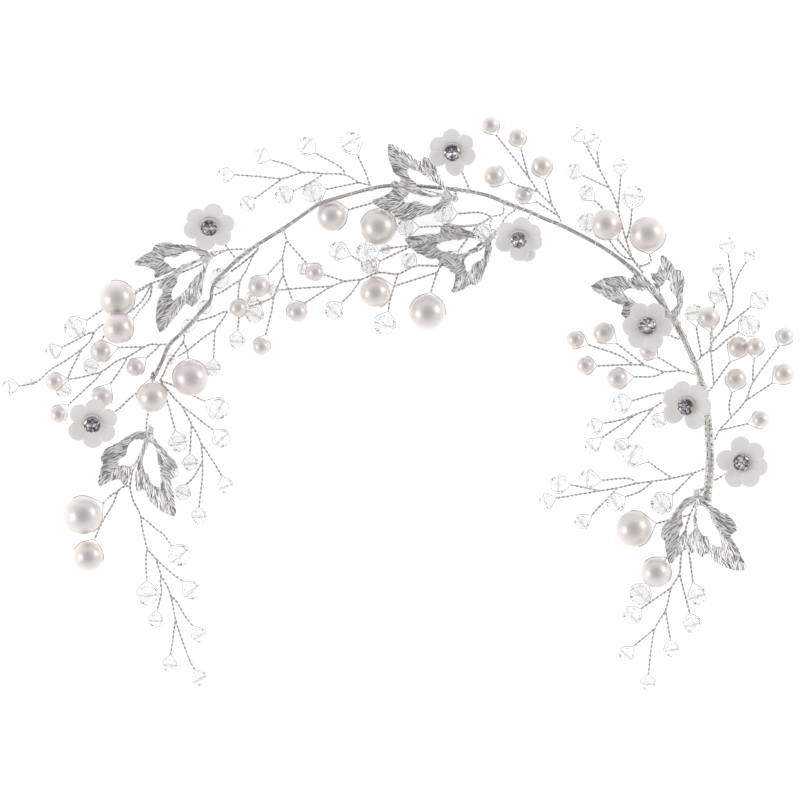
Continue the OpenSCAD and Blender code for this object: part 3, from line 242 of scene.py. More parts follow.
stalk("right_low_outer", 53, OUTER, 4.4, [
    [*BALL_S, 785.1, 335.8, 4.4, [[779.5,345.5], [752.7,383.1], [745.3,401.2], [731,417.5],
     [719.5,430.5], ROOT]],
    [*BALL_S, 760.7, 419.6, 3.6, [[748.2,423.7], [719.5,430.5]]],
    [*BALL_M, 736.1, 378.8, 3.6, [[732.2,391.9], [729.2,407], [731,417.5]]],
    [*BALL_M, 784, 373.5, 4, [[772.5,382.9], [745.3,401.2]]],
    [*BALL_S, 755.7, 346.6, 6.6, [[755,357], [753.6,363], [752.7,383.1]]]
])
stalk("right_low_inner", 50, INNER, 3.6, [
    [*CUT_S, 593.7, 426.5, 3.4, [[602.5,423.4], [619.5,420.2], [637,413.8], [653.4,407.8], [662,402.4],
     [680,399.5], ROOT]],
    [*CUT_M, 620.7, 403.7, 3.8, [[631.5,401], [663.2,393.2], [680,399.5]]],
    [*CUT_S, 620.3, 446.5, 2.15, [[627.6,438.5], [653.4,407.8]]],
    [*CUT_S, 591.4, 446.6, 2.6, [[601.2,438], [637,413.8]]],
    [*CUT_S, 658.6, 421.5, 2.6, [[662.5,413], [668,406], [680,399.5]]]
])
stalk("right_low_inner", 55, INNER, 3.4, [
    [*CUT_S, 545.5, 501.7, 2.6, [[555.8,498.2], [600,490.8], [617,488], [636.5,483.5], [652.5,481.3],
     [672.3,478.2], [694.4,472.5], ROOT]],
    [*CUT_L, 661, 503.5, 3.4, [[672.4,494.8], [694.4,472.5]]],
    [*CUT_L, 632.7, 454.6, 5.8, [[648.2,461.5], [660.9,470.7], [672.3,478.2]]],
    [*CUT_M, 615, 502.8, 4.4, [[625,497], [640.2,491.4], [652.5,481.3]]],
    [*CUT_M, 587.4, 479, 6.4, [[601,480.5], [631,479], [636.5,483.5]]],
    [*CUT_S, 581.1, 522.3, 2.4, [[591.4,515.5], [606,499.8,1], [617,488]]],
    [*CUT_M, 558.1, 484, 3, [[570.2,484.7], [600,490.8]]]
])
stalk("right_end", 57, INNER, 2.6, [
    [*CUT_S, 648.1, 684, 2.4, [[648.4,675], [651.2,648.4], [655,628.3], [665.5,610], [671.5,587.5],
     [679.5,573.5], [680.7,558.6], [685.5,530], [690,515], [697,500], ROOT]],
    [TIE, 5, [ROOT]],
    [*BALL_L, 633.8, 529, 5.4, [[655.8,523.6], [690,515]]],
    [*BALL_W, 656, 572.6, 5.9, [[668,557.5], [676,545], [685.5,530]]],
    [*CUT_L, 639.7, 594.7, 3.05, [[647,586], [650,582,0.7], [660,568,0.7], [670,553,0.9], [685.5,530]]],
    [*CUT_M, 697.5, 596.5, 3, [[693,583.1], [689.8,557.9], [685.5,530]]],
    [*CUT_M, 692.6, 625, 2.6, [[689.8,613.5], [684.2,592.3], [679.5,573.5]]],
    [*CUT_M, 631.6, 615.8, 3.2, [[640.7,609.1], [671.5,587.5]]],
    [*CUT_S, 671.6, 650, 2.8, [[670.6,641], [665.5,610]]],
    [*CUT_S, 626, 654.5, 2.6, [[633,646.7], [655,628.3]]]
])
# Leaves and flowers that sit on the stem itself
for point, side, level, strand in (
        (11, OUTER, 6.2, [EYE, 1, [ROOT]]),
        (26, INNER, 5.2, [TIE, 2, [ROOT]]),
        (27, OUTER, 5.2, [EYE, 2, [ROOT]]),
        (32, INNER, 6.2, [EYE, 3, [ROOT]]),
        (43, OUTER, 7, [TIE, 4, [ROOT]]),
        (44, INNER, 7.5, [EYE, 4, [ROOT]]),
        (48, INNER, 7, [EYE, 5, [ROOT]]),
        (56, OUTER, 5.2, [EYE, 6, [ROOT]])):
    stalk("ornament", point, side, level, [strand])

# Crystals that a wire runs straight through: size, x and y of the middle, x and y towards which the
# wire runs, height, thickness of the wire
strung = [
    [crystal_small, 188.5, 325.75, 195, 319, stem_h, stem_thin_d],
    [crystal_small, 204.75, 307, 210.5, 300, stem_h, stem_thin_d],
    [crystal_large, 219.75, 278.25, 227, 269.5, stem_h, stem_thin_d],
    [crystal_tiny, 30, 383.5, 37, 381.5, 3, twig_d],
    [crystal_tiny, 171, 359.5, 174, 355, 3, twig_d],
    [crystal_tiny, 493.2, 234.1, 499.5, 226.6, 3, twig_d],
    [crystal_tiny, 486.5, 242, 499.5, 226.6, 3, twig_d],
    [crystal_tiny, 386, 249.2, 391.5, 248, 9.2, twig_d]
]

# x, y, height of the underside at the middle, tilt, direction that it faces, turn, share of the size,
# and its petals' directions, seen from above
flowers = [
    [92, 421.5, 7, 22, 270, 85, 1.04, [80, 20, -35, -88, -150, 140]],
    [209, 224.5, 10.2, 24, 270, 76, 1.03, [75, 12, -40, -103, -170, 142]],
    [452.3, 150.5, 8.8, 16, 270, 95, 0.96, [92, 38, -16, -80, -159, 155]],
    [518.7, 236.8, 9, 24, 270, 88, 0.96, [78, 27, -13, -87, -162, 143]],
    [647.3, 326.4, 10, 3, 90, 117, 1, [119, 60, -2, -67, -128, 180]],
    [687.3, 405, 9.4, 18, 225, 105, 1.03, [101, 50, 2, -59, -150, 149]],
    [743, 462.5, 7.4, 10, 190, 109, 1.05, [94, 38, -13, -61, -116, 172]]
]

# x and y of the eyelet, the long tip and the short tip, height of the middle, share of the breadth
leaves = [
    [150, 434, 175, 517, 99.5, 487, 6, 1],
    [209, 256, 159, 333, 134, 265, 7.5, 0.86],
    [451, 197, 388, 143, 372, 200, 7.6, 0.95],
    [488, 239, 404, 239.5, 451.4, 292, 6.2, 0.95],
    [673, 318, 590, 286, 661, 255, 8.6, 1],
    [697, 497, 746, 571, 671, 564, 7.4, 1]
]

# Leaflet outlines, in steps along and across a leaflet that is leaflet_steps long, from its base to its
# tip. Across counts to the side that faces away from the other leaflet.
leaflet_steps = 87
long_outline = [
    [-1,3.5], [6,4.6], [13,6.4], [20,9.7], [27,12.8], [34,16.8], [43,17.4], [49.5,15.4], [50,7],
    [57,6.7], [67,5.8], [75,4.4], [82,3.4], [87,0], [83,-6], [77,-12.5], [68,-18], [62,-21], [53,-21.2],
    [51,-24.7], [53.5,-28.6], [48,-30.2], [42,-29], [35,-26], [26,-21.4], [17,-16.6], [10,-10.4],
    [5,-4.6], [-1,-3.5]
]
long_opening = [
    [8,-3.5], [16,-10], [25,-14.8], [35,-15.7], [37,-12.2], [44,-13.2], [51,-10.2], [53.5,-6.7],
    [45,-3.1], [35,-1.2], [28,-1.1], [17,1.1], [10,-1]
]
short_outline = [
    [-1,3.5], [8,13.5], [23,19], [36,21.7], [48,26], [57,25], [62.7,22.4], [64.4,17], [71.6,14], [80,9],
    [87,4], [87,-1], [77,-3.8], [70,-7], [64,-11.7], [66,-16.7], [65.5,-21], [60.4,-21.5], [55,-18.4],
    [46,-15.6], [37,-12.8], [30,-10], [16,-6.5], [5,-4.8], [-1,-3.5]
]
short_opening = [
    [10,0], [18.4,8.3], [28,8.2], [38,2.8], [45.5,4.3], [50.6,4.6], [52,0.4], [47,-3.4], [44.3,-9.3],
    [38,-10], [28,-8.3], [16,-4]
]


# ---- vectors and places

def V(x, y, z=0):
    return np.array([x, y, z], float)


X, Y, Z = V(1, 0), V(0, 1), V(0, 0, 1)


def at(x, y, z=0):
    return V((x - MID_X) * STEP, (MID_Y - y) * STEP, z)


def across(x):
    """How far along the vine's width a place lies, from 0 to 1."""
    return (x - MID_X) / LAYOUT_W + 0.5


def unit(v):
    return v / norm(v)


def left_of(v):
    return unit(V(-v[1], v[0]))


def upright(axis):
    """A direction that isn't along the axis, upwards if it can be."""
    return Z if abs(axis[2]) < 0.9 else X


def ring(c, r, u, w, n, shift=0):
    """n points round c, in the plane of u and w, from u on by shift of a step."""
    return [c + r * (cos(a) * u + sin(a) * w) for a in (np.arange(n) + shift) * 2 * pi / n]


def band(i, j, n, outward=False):
    """Faces between the rings of n points that start at vertices i and j."""
    if outward:
        return [(i + k, j + k, j + (k + 1) % n, i + (k + 1) % n) for k in range(n)]
    return [(i + k, i + (k + 1) % n, j + (k + 1) % n, j + k) for k in range(n)]


stem_points = [at(p[0], p[1], stem_h + (p[3] if len(p) > 3 else 0)) for p in stem_route]


def stem_tangent(i):
    p, q, r = stem_points[i - 1:i + 2]
    return unit(unit(r - q) + unit(q - p))


def root_point(i, side):
    root_r = (stem_route[i][2] + twig_d) / 2 + wire_gap
    return stem_points[i] + side * root_r * left_of(stem_tangent(i))


def flower_axis(f):
    t, d = radians(f[3]), radians(f[4])
    return V(sin(t) * cos(d), sin(t) * sin(d), cos(t))


def eye_centre(f):
    return at(*f[:3]) - (twig_d + 2 * wire_gap) * flower_axis(f)


eye_r = (post_d + loop_d) / 2 + wire_gap


def leaf_back(l):
    """Direction from a leaf's tips to its eyelet."""
    return unit(2 * at(*l[:2]) - at(*l[2:4]) - at(*l[4:6]))


def is_bead(row):
    return row[0] in (GRAND, PEARL, CRYSTAL)


def end_place(row):
    return at(*row[2:5])


def round_bead(row):
    """Radius of the loop that passes round a bead; a crystal's corners stand out."""
    share = hypot(1, 1.03 * sqrt(2) - 1) if row[0] == CRYSTAL else 1
    return row[1] / 2 * share + wire_gap + loop_d / 2


def fork(row):
    c, f = end_place(row), at(*row[-1][0][:2], row[4])
    return c + unit(f - c) * max(norm(f - c), round_bead(row) + twig_d / 2)


def strand_end(row, after):
    if is_bead(row):
        return fork(row)
    if row[0] == TIE:
        l = leaves[row[1]]
        return at(*l[:2], l[6]) + 2 * tie_r * leaf_back(l)
    if row[0] == EYE:
        c, n = eye_centre(flowers[row[1]]), flower_axis(flowers[row[1]])
        d = after - c
        return c + (eye_r + loop_d / 4) * unit(d - d.dot(n) * n)
    return end_place(row)


def strand_points(row, root, side, level):
    rest = [at(*p[:2], p[2] if len(p) > 2 else level) if p else root_point(root, side)
            for p in row[-1][1 if is_bead(row) else 0:]]
    return [strand_end(row, rest[0])] + rest


# ---- meshes

class Piece:
    """Vertices in millimetres, and faces with a material number each."""

    def __init__(self):
        self.verts, self.faces, self.mats = [], [], []

    def add(self, verts, faces, mat=0):
        n = len(self.verts)
        self.verts.extend(map(tuple, verts))
        self.faces.extend(tuple(i + n for i in f) for f in faces)
        self.mats.extend([mat] * len(faces) if isinstance(mat, int) else mat)

    def make(self, name, mats, smooth=True, place=Matrix()):
        me = bpy.data.meshes.new(name)
        me.from_pydata([(x * MM, y * MM, z * MM) for x, y, z in self.verts], [], self.faces)
        me.polygons.foreach_set("material_index", self.mats)
        me.polygons.foreach_set("use_smooth", [smooth] * len(self.faces))
        me.update()
        for m in mats:
            me.materials.append(m)
        o = link(name, me)
        o.matrix_world = place
        return o


def link(name, data):
    o = bpy.data.objects.new(name, data)
    bpy.context.collection.objects.link(o)
    return o


def sharpen(o):
    o.data.set_sharp_from_angle(angle=radians(50))
    return o


def merge(o):
    bm = bmesh.new()
    bm.from_mesh(o.data)
    bmesh.ops.remove_doubles(bm, verts=bm.verts, dist=1e-7)
    bmesh.ops.recalc_face_normals(bm, faces=bm.faces)
    bm.to_mesh(o.data)
    bm.free()
    return o


def dress(o, node):
    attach(o, "root")
    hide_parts(node)


def smooth_path(pts, gap=0.3):
    """Catmull-Rom curve through points, sampled about every gap."""
    pts = [np.asarray(p, float) for p in pts]
    if len(pts) == 2:
        n = max(2, int(norm(pts[1] - pts[0]) / gap) + 1)
        return np.array([pts[0] + (pts[1] - pts[0]) * k / (n - 1) for k in range(n)])
    ext = [2 * pts[0] - pts[1]] + pts + [2 * pts[-1] - pts[-2]]
    out = []
    for i in range(1, len(ext) - 2):
        p0, p1, p2, p3 = ext[i - 1:i + 3]
        d1, d2, d3 = (max(norm(d), 1e-6) ** 0.5 for d in (p1 - p0, p2 - p1, p3 - p2))
        m1 = ((p1 - p0) / d1 - (p2 - p0) / (d1 + d2) + (p2 - p1) / d2) * d2
        m2 = ((p2 - p1) / d2 - (p3 - p1) / (d2 + d3) + (p3 - p2) / d3) * d2
        n = max(1, int(round(norm(p2 - p1) / gap)))
        for k in range(n):
            t = k / n
            out.append((2 * t ** 3 - 3 * t ** 2 + 1) * p1 + (t ** 3 - 2 * t ** 2 + t) * m1
                       + (-2 * t ** 3 + 3 * t ** 2) * p2 + (t ** 3 - t ** 2) * m2)
    return np.array(out + [pts[-1]])


def frames(pts):
    """Normal and binormal along a path, turning as little as possible."""
    t = np.gradient(pts, axis=0)
    t /= norm(t, axis=1)[:, None] + 1e-12
    n = np.zeros_like(pts)
    n[0] = unit(upright(t[0]) - upright(t[0]).dot(t[0]) * t[0])
    for i in range(1, len(pts)):
        q = n[i - 1] - n[i - 1].dot(t[i]) * t[i]
        n[i] = q / (norm(q) + 1e-12)
    return n, np.cross(t, n)


def tube(piece, pts, radius, sides=6, mat=0):
    """Round wire. radius and mat are one for all, or a list along the path."""
    pts = np.asarray(pts, float)
    last = len(pts) - 1
    skin = [p for c, r, n, b in zip(pts, np.broadcast_to(radius, last + 1), *frames(pts))
            for p in ring(c, r, n, b, sides)]
    faces = [f for i in range(last) for f in band(i * sides, (i + 1) * sides, sides)]
    faces += [tuple(reversed(range(sides))), tuple(last * sides + k for k in range(sides))]
    part = [mat] * last if isinstance(mat, int) else mat
    piece.add(skin, faces, [m for m in part for _ in range(sides)] + [part[0], part[-1]])


def arc_len(pts):
    return np.concatenate([[0], np.cumsum(norm(np.diff(pts, axis=0), axis=1))])


STRAND_R, STRAND_OFF = 0.185, 0.195      # a strand's radius, and its distance from the twig's middle
TWIST = 2.7                              # length of a whole turn of the two strands
BRIGHT = 0.68                            # below this share of the way to a crossing a strand is painted in shade
BIND_R, BIND_PITCH = 0.17, 0.36          # wire that is wound round others


def twisted(piece, pts):
    """Two strands, painted bright where they cross and painted in shade where they lie side by side."""
    pts = smooth_path(pts)
    n, b = frames(pts)
    run = arc_len(pts)
    a = run / TWIST * 2 * pi + rnd.uniform(0, 6.28)
    off = STRAND_OFF * (1 + 0.08 * np.sin(run * 0.9 + rnd.uniform(0, 6)))
    for k in (0, pi):
        c = pts + off[:, None] * (np.cos(a + k)[:, None] * n + np.sin(a + k)[:, None] * b)
        tube(piece, c, STRAND_R, mat=[0 if abs(v) > BRIGHT else 1 for v in np.cos(a[1:])])


def coil(piece, centre, axis, radius, wire_r, turns, pitch, phase=0, lean=0):
    """Turns of wire round a point, about an axis, leaning over to one side."""
    axis = unit(axis)
    u = unit(np.cross(upright(axis), axis))
    w = np.cross(axis, u)
    steps = 14      # of a turn
    s = np.linspace(-0.5, 0.5, int(turns * steps) + 1)
    a = s * turns * 2 * pi + phase
    tube(piece, centre + radius * (np.cos(a)[:, None] * u + np.sin(a)[:, None] * w)
         + (s * turns * pitch + lean * radius * np.cos(a + 0.6))[:, None] * axis, wire_r)


def bead_loop(piece, row):
    """Single wire out of the twig, along one side of the bead, through its bore and back."""
    c, f = end_place(row), fork(row)
    u, r = unit(f - c), round_bead(row) - 0.13
    side, far = left_of(u), norm(f - c)
    start = 0.16      # the wires' distance from the twig's middle at the fork
    touch = acos(min(0.999, r / far))
    half = [(far + 0.5, 0.1), (far, start)]      # places along u and to the side
    for q in (1 / 3, 2 / 3, 1):
        half.append((far + (r * cos(touch) - far) * q, start + (r * sin(touch) - start) * q))
    n = max(3, int((pi / 2 - touch) * r / 0.4))
    for k in range(1, n + 1):
        a = touch + (radians(86) - touch) * k / n
        half.append((r * cos(a), r * sin(a)))
    half += [(0.03, 0.97 * r - 0.06), (0, 0.9 * r - 0.12), (0, 0.45 * r)]
    rnd.uniform(-0.05, 0.05)      # not used; it keeps the order of the draws
    tube(piece, [c + u * p + side * q for p, q in half + [(p, -q) for p, q in half[::-1]]], loop_d / 2)


def sprig(name, stalks, mats):
    piece = Piece()
    for i, side, level, rows in stalks:
        coil(piece, stem_points[i], stem_tangent(i), stem_route[i][2] / 2 + 0.2, BIND_R, 3.2,
             BIND_PITCH, rnd.uniform(0, 6), 0.15)
        for row in rows:
            twisted(piece, strand_points(row, i, side, level))
            if is_bead(row):
                bead_loop(piece, row)
            elif row[0] == TIE:
                l = leaves[row[1]]
                b = leaf_back(l)
                coil(piece, at(*l[:2], l[6]) + tie_r * b, left_of(b), tie_r, BIND_R, 4.4, BIND_PITCH,
                     rnd.uniform(0, 6), 0.12)
            elif row[0] == EYE:
                f = flowers[row[1]]
                coil(piece, eye_centre(f), flower_axis(f), eye_r, 0.16, 2, 0.3)
    return piece.make(name, mats)


# ---- materials

def grey(g):
    return g, g, g


def feed(node, **values):
    """Sets a node's inputs, each to a value or to another node's output."""
    for name, v in values.items():
        socket = node.inputs[name.replace("_", " ")]
        if isinstance(v, bpy.types.NodeSocket):
            node.id_data.links.new(v, socket)
        else:
            socket.default_value = v
    return node


def add_node(beside, kind, **values):
    return feed(beside.id_data.nodes.new("ShaderNode" + kind), **values)


def material(name, color, rough, metallic=0, **more):
    m = bpy.data.materials.new(name)
    m.use_nodes = True
    p = m.node_tree.nodes["Principled BSDF"]
    return m, feed(p, Base_Color=(*color, 1), Roughness=rough, Metallic=metallic, **more)


def noise(p, scale, detail, rough=0.5):
    place = add_node(p, "TexCoord").outputs["Object"]
    n = add_node(p, "TexNoise", Vector=place, Scale=scale, Detail=detail, Roughness=rough)
    return n.outputs["Fac"]


def spread(p, source, out_lo, out_hi, lo=0.3, hi=0.7):
    r = add_node(p, "MapRange", Value=source, From_Min=lo, From_Max=hi, To_Min=out_lo, To_Max=out_hi)
    return r.outputs["Result"]


def ramp(p, source, *stops):
    r = add_node(p, "ValToRGB", Fac=source)
    el = r.color_ramp.elements
    el[0].position, el[1].position = stops[0][0], stops[-1][0]
    el[0].color, el[1].color = (*stops[0][1], 1), (*stops[-1][1], 1)
    for pos, color in stops[1:-1]:
        el.new(pos).color = (*color, 1)
    return r.outputs["Color"]


def grain(p, source, lo, hi, strength, depth):
    """Roughness from lo to hi, and a bump, both by the same noise."""
    b = add_node(p, "Bump", Strength=strength, Distance=depth, Height=source)
    feed(p, Roughness=spread(p, source, lo, hi), Normal=b.outputs["Normal"])


def metal(name, light, dark, rough, scale=2500, share=1):
    m, p = material(name, light, rough, share)
    n = noise(p, scale, 4, 0.6)
    feed(p, Base_Color=ramp(p, n, (0.32, dark), (0.6, light)))
    grain(p, n, rough + 0.08, rough - 0.05, 0.25, 0.00004)
    return m


wire_mat = metal("wire_silver", (0.9, 0.89, 0.88), (0.72, 0.71, 0.7), 0.16)
# darker copy of the wire silver: painted shade on twisted strands where they lie side by side
wire_shade_mat = metal("wire_silver_painted_shade", (0.6, 0.59, 0.58), (0.42, 0.41, 0.4), 0.2)
stem_mat = metal("stem_silver", (0.86, 0.845, 0.83), (0.6, 0.59, 0.58), 0.18)
binding_mat = metal("binding_silver", (0.97, 0.955, 0.935), (0.84, 0.825, 0.81), 0.34, share=0.85)
cup_mat = metal("cup_silver", (0.95, 0.94, 0.94), (0.84, 0.83, 0.83), 0.42, share=0.7)
leaf_mat = metal("leaf_silver", (0.93, 0.92, 0.915), (0.78, 0.77, 0.765), 0.38, 1400, 0.75)
leaf_dull_mat = metal("leaf_silver_dull", (0.72, 0.71, 0.705), (0.5, 0.49, 0.485), 0.42, 1400, 0.75)
# dark silver: painted shade on the leaf plates between the ribs, in the stem's core between its wires,
# and on the stem's side wire where its strands lie side by side; also the dark tone of a few ribs at
# random
shade_and_dark_silver_mat = metal("painted_shade_and_dark_silver", (0.44, 0.43, 0.43), (0.27, 0.265, 0.265), 0.45, 1400, 0.8)
foil_mat = metal("stone_foil", (0.84, 0.83, 0.84), (0.68, 0.67, 0.68), 0.2, 900)
# dark foil and grey metal facets: painted reflections on the stone's facets
dark_reflection_foil_mat = metal("stone_foil_painted_dark_reflection", (0.3, 0.29, 0.3), (0.16, 0.155, 0.16), 0.24, 900)
facet_reflection_mat = metal("stone_facet_painted_reflection", (0.72, 0.71, 0.73), (0.5, 0.49, 0.51), 0.16, 900, 0.8)
crown_mat, _ = material("stone_crown", (0.98, 0.98, 1), 0, Transmission_Weight=1, IOR=1.6)


def petal_material(name, *stops):
    """Resin whose colour goes by the distance from the flower's middle: darker and warmer near the
    middle, painted shade round the cup.
    """
    m, p = material(name, (0.84, 0.83, 0.82), 0.42, Coat_Weight=0.15, Coat_Roughness=0.3,
                    Subsurface_Weight=0.4, Subsurface_Scale=0.0012, Subsurface_Radius=(1, 0.96, 0.93))
    far = add_node(p, "VectorMath", Vector=add_node(p, "TexCoord").outputs["Object"])
    far.operation = "LENGTH"
    feed(p, Base_Color=ramp(p, spread(p, far.outputs["Value"], 0, 1, 0.0024, 0.0078), *stops))
    grain(p, noise(p, 900, 3), 0.38, 0.5, 0.12, 0.00006)
    return m


# both ramps darken towards the middle: painted shade round the cup
petal_mat = petal_material("petal_resin_centre_shade", (0, (0.86, 0.8, 0.77)), (0.25, (0.88, 0.85, 0.83)),
                           (0.6, (0.87, 0.855, 0.845)), (1, (0.87, 0.86, 0.85)))
# lighter resin: a painted highlight along the ridges where petals meet, and the white bead's own colour
seam_highlight_and_white_mat = petal_material("white_resin_and_petal_seam_highlight", (0, (0.9, 0.85, 0.82)), (0.3, (0.97, 0.95, 0.935)),
                          (1, (0.98, 0.965, 0.955)))

pearl_mat, p = material("pearl_lustre", (0.9, 0.875, 0.855), 0.36, 0.48, Coat_Weight=0.8,
                        Coat_Roughness=0.17)
feed(p, Base_Color=ramp(p, noise(p, 260, 3), (0.3, (0.79, 0.735, 0.705)),
                        (0.7, (0.825, 0.775, 0.75))))
grain(p, noise(p, 3000, 2), 0.32, 0.4, 0.06, 0.00003)

crystal_mats = []
# the faint and grey copies are painted shade on facets of the clear glass
for name, tone in (("", 0.985), ("_faint_painted_shade", 0.95), ("_grey_painted_shade", 0.9)):
    m, p = material("crystal_glass" + name, grey(tone), 0.08, Transmission_Weight=0.9, IOR=1.29)
    feed(p, Roughness=spread(p, noise(p, 1500, 2), 0.1, 0.2))
    crystal_mats.append(m)


# ---- beads

def pearl_mesh(piece, row):
    """Ball with a bore across the twig, and a small dimple where the wire goes in."""
    c, u = end_place(row), unit(fork(row) - end_place(row))
    pole = left_of(u)
    up = np.cross(pole, u)
    R, segs, bands = row[1] / 2, 48, 26
    mouth = asin(bore_d / 2 / R)
    rim = [mouth * 0.98, mouth * 1.35, mouth * 1.9]
    lats = rim + list(np.linspace(mouth * 3, pi - mouth * 3, bands)) + [pi - a for a in rim[::-1]]
    radii = [R - 0.12, R - 0.03] + [R] * (bands + 2) + [R - 0.03, R - 0.12]
    rings = [ring(c + r * cos(a) * pole, r * sin(a), u, up, segs) for a, r in zip(lats, radii)]
    ends = [ring(c + s * (R - 0.5) * pole, bore_d / 2 * 0.95, u, up, segs) for s in (1, -1)]
    rings = [ends[0]] + rings + [ends[1]]
    n = len(rings)
    faces = [f for i in range(n) for f in band(i * segs, (i + 1) % n * segs, segs, True)]
    piece.add([p for r in rings for p in r], faces)


def crystal_mesh(piece, centre, pole, u, size, bore):
    """Faceted bead: kites round its middle, more facets at each end, and a table round the bore."""
    R, H = size / 2 * 1.05, 0.49 * size
    rows = ((bore / 2, H, 0), (0.5 * R, H, 0), (0.86 * R, 0.62 * H, 0.5), (R, 0, 0),
            (0.86 * R, -0.62 * H, 0.5), (0.5 * R, -H, 0), (bore / 2, -H, 0))
    up = np.cross(pole, u)
    verts = [p for r, z, shift in rows for p in ring(centre + z * pole, r, u, up, 8, shift)]
    faces = []
    for k in range(8):
        m = (k + 1) % 8
        faces.append((k, 8 + k, 8 + m, m))
        for a in range(8, 40, 8):      # first vertex of this ring, and of the next
            c = a + 8
            if a % 16:      # corner k lies between the next ring's corners k - 1 and k
                faces += [(a + k, c + (k - 1) % 8, c + k), (a + k, c + k, a + m)]
            else:
                faces += [(a + k, c + k, a + m), (a + m, c + k, c + m)]
        faces += [(40 + k, 48 + k, 48 + m, 40 + m), (48 + k, k, m, 48 + m)]
    # each facet gets the clear glass or one of the two painted-shade greys, at random
    piece.add(verts, faces, [rnd.choice((0, 0, 1, 2)) for _ in faces])


rows = [row for stalks in SPRIGS.values() for *_, strands in stalks for row in strands]
for i, row in enumerate(row for row in rows if row[0] == GRAND):
    piece = Piece()
    pearl_mesh(piece, row)
    dress(piece.make(f"pearl_ball_{i + 1}", [pearl_mat]), f"pearl_{i + 1}")

for name, kind, lo, hi in (
        ("pearls_left", PEARL, 0, 0.25), ("pearls_middle", PEARL, 0.25, 0.72),
        ("pearls_right", PEARL, 0.72, 1), ("crystals_left", CRYSTAL, 0, 0.36),
        ("crystals_middle", CRYSTAL, 0.36, 0.72), ("crystals_right", CRYSTAL, 0.72, 1)):
    piece = Piece()
    group = [row for row in rows if row[0] == kind and lo <= across(row[2]) < hi]
    if kind == PEARL:
        for row in group:
            pearl_mesh(piece, row)
        dress(piece.make(f"{name}_balls", [pearl_mat]), name)
        continue
    for row in group:
        c, u = end_place(row), unit(fork(row) - end_place(row))
        crystal_mesh(piece, c, left_of(u), u, row[1], bore_d)
    for size, x, y, x_to, y_to, z, wire in strung:
        if lo <= across(x) < hi:
            run = unit(at(x_to, y_to) - at(x, y))
            crystal_mesh(piece, at(x, y, z), run, left_of(run), size, wire + 2 * wire_gap)
    dress(piece.make(f"{name}_cut", crystal_mats, smooth=False), name)


# ---- sprigs, stem and binding

for name, stalks in SPRIGS.items():
    dress(sprig(f"sprig_{name}", stalks, [wire_mat, wire_shade_mat]), f"wires_{name}")

STEM_GAP = 0.5
stem_line = smooth_path(stem_points, STEM_GAP)
stem_len = arc_len(stem_line)
marks = [0.0]      # where on the line each stem point lies
for p, q in zip(stem_points, stem_points[1:]):
    marks.append(marks[-1] + max(1, int(round(norm(q - p) / STEM_GAP))))
stem_rad = np.interp(np.arange(len(stem_line)), marks, [max(p[2] / 2, 0.62) for p in stem_route])
stem_n, stem_b = frames(stem_line)


def stem_bundle():
    """Single wires, more of them where the stem is thicker, laid slightly twisted round a dark core
    that is painted shade in the gaps between them.
    """
    piece = Piece()
    # the core is dark: painted shade between the wires
    tube(piece, stem_line, stem_rad - 0.34, 10, 1)
    r = 0.2
    for ends in ((0, 10.6), (10.4, 38.7), (38.3, 48.6), (48.3, 58)):      # stem points
        a, b = (int(m) for m in np.interp(ends, range(len(marks)), marks))
        part = slice(a, b + 1)
        rad, run = stem_rad[part], stem_len[part]
        count = int(2 * pi * (rad.mean() - r) / (2.1 * r))
        for k in range(count):
            turn = 2 * pi * k / count + run * 0.035 + 0.12 * np.sin(run * 0.2 + k * 1.7)
            tube(piece, stem_line[part] + (rad - r * 0.95)[:, None] * (
                np.cos(turn)[:, None] * stem_n[part] + np.sin(turn)[:, None] * stem_b[part]), r)
    # a second twisted wire that lies beside the stem; where its strands lie side by side they take the
    # dark painted shade
    twisted(piece, [at(x, y, 4.6) for x, y in ((257, 251.3), (248, 258.5), (240, 265), (231, 271.8))])
    return piece.make("stem_wires", [stem_mat, shade_and_dark_silver_mat])


UNBOUND = (5, 7, 9, 17)      # spans with a crystal strung on them, and the rise over a pearl


def binding_turns():
    piece = Piece()
    for i in range(1, len(stem_points) - 1):
        if i in UNBOUND:
            continue
        d = stem_points[i + 1] - stem_points[i]
        mid = (stem_points[i] + stem_points[i + 1]) / 2
        width = max(stem_route[i][2], stem_route[i + 1][2])
        thick = width > 2.2
        turns, wire_r = (3.2, 0.15) if thick else (1.4, 0.12)
        coil(piece, mid, d, max(width, stem_d) / 2 + 0.14, wire_r, turns, 0.33, rnd.uniform(0, 6),
             rnd.uniform(-0.25, 0.25))
        for s in (-0.3, 0.3) if thick else ():
            coil(piece, mid + d * s, d, width / 2 + 0.2, 0.14, 1.2, 0.5, rnd.uniform(0, 6),
                 rnd.choice((-1, 1)) * rnd.uniform(0.4, 0.7))
    return piece.make("binding_turns", [binding_mat])


dress(stem_bundle(), "stem")
dress(binding_turns(), "stem_binding")


# ---- flowers, stones and cups

def flower_place(f):
    return (Matrix.Translation(Vector(at(*f[:3])) * MM) @ Matrix.Rotation(radians(f[4]), 4, "Z")
            @ Matrix.Rotation(radians(f[3]), 4, "Y") @ Matrix.Rotation(radians(f[5] - f[4]), 4, "Z"))


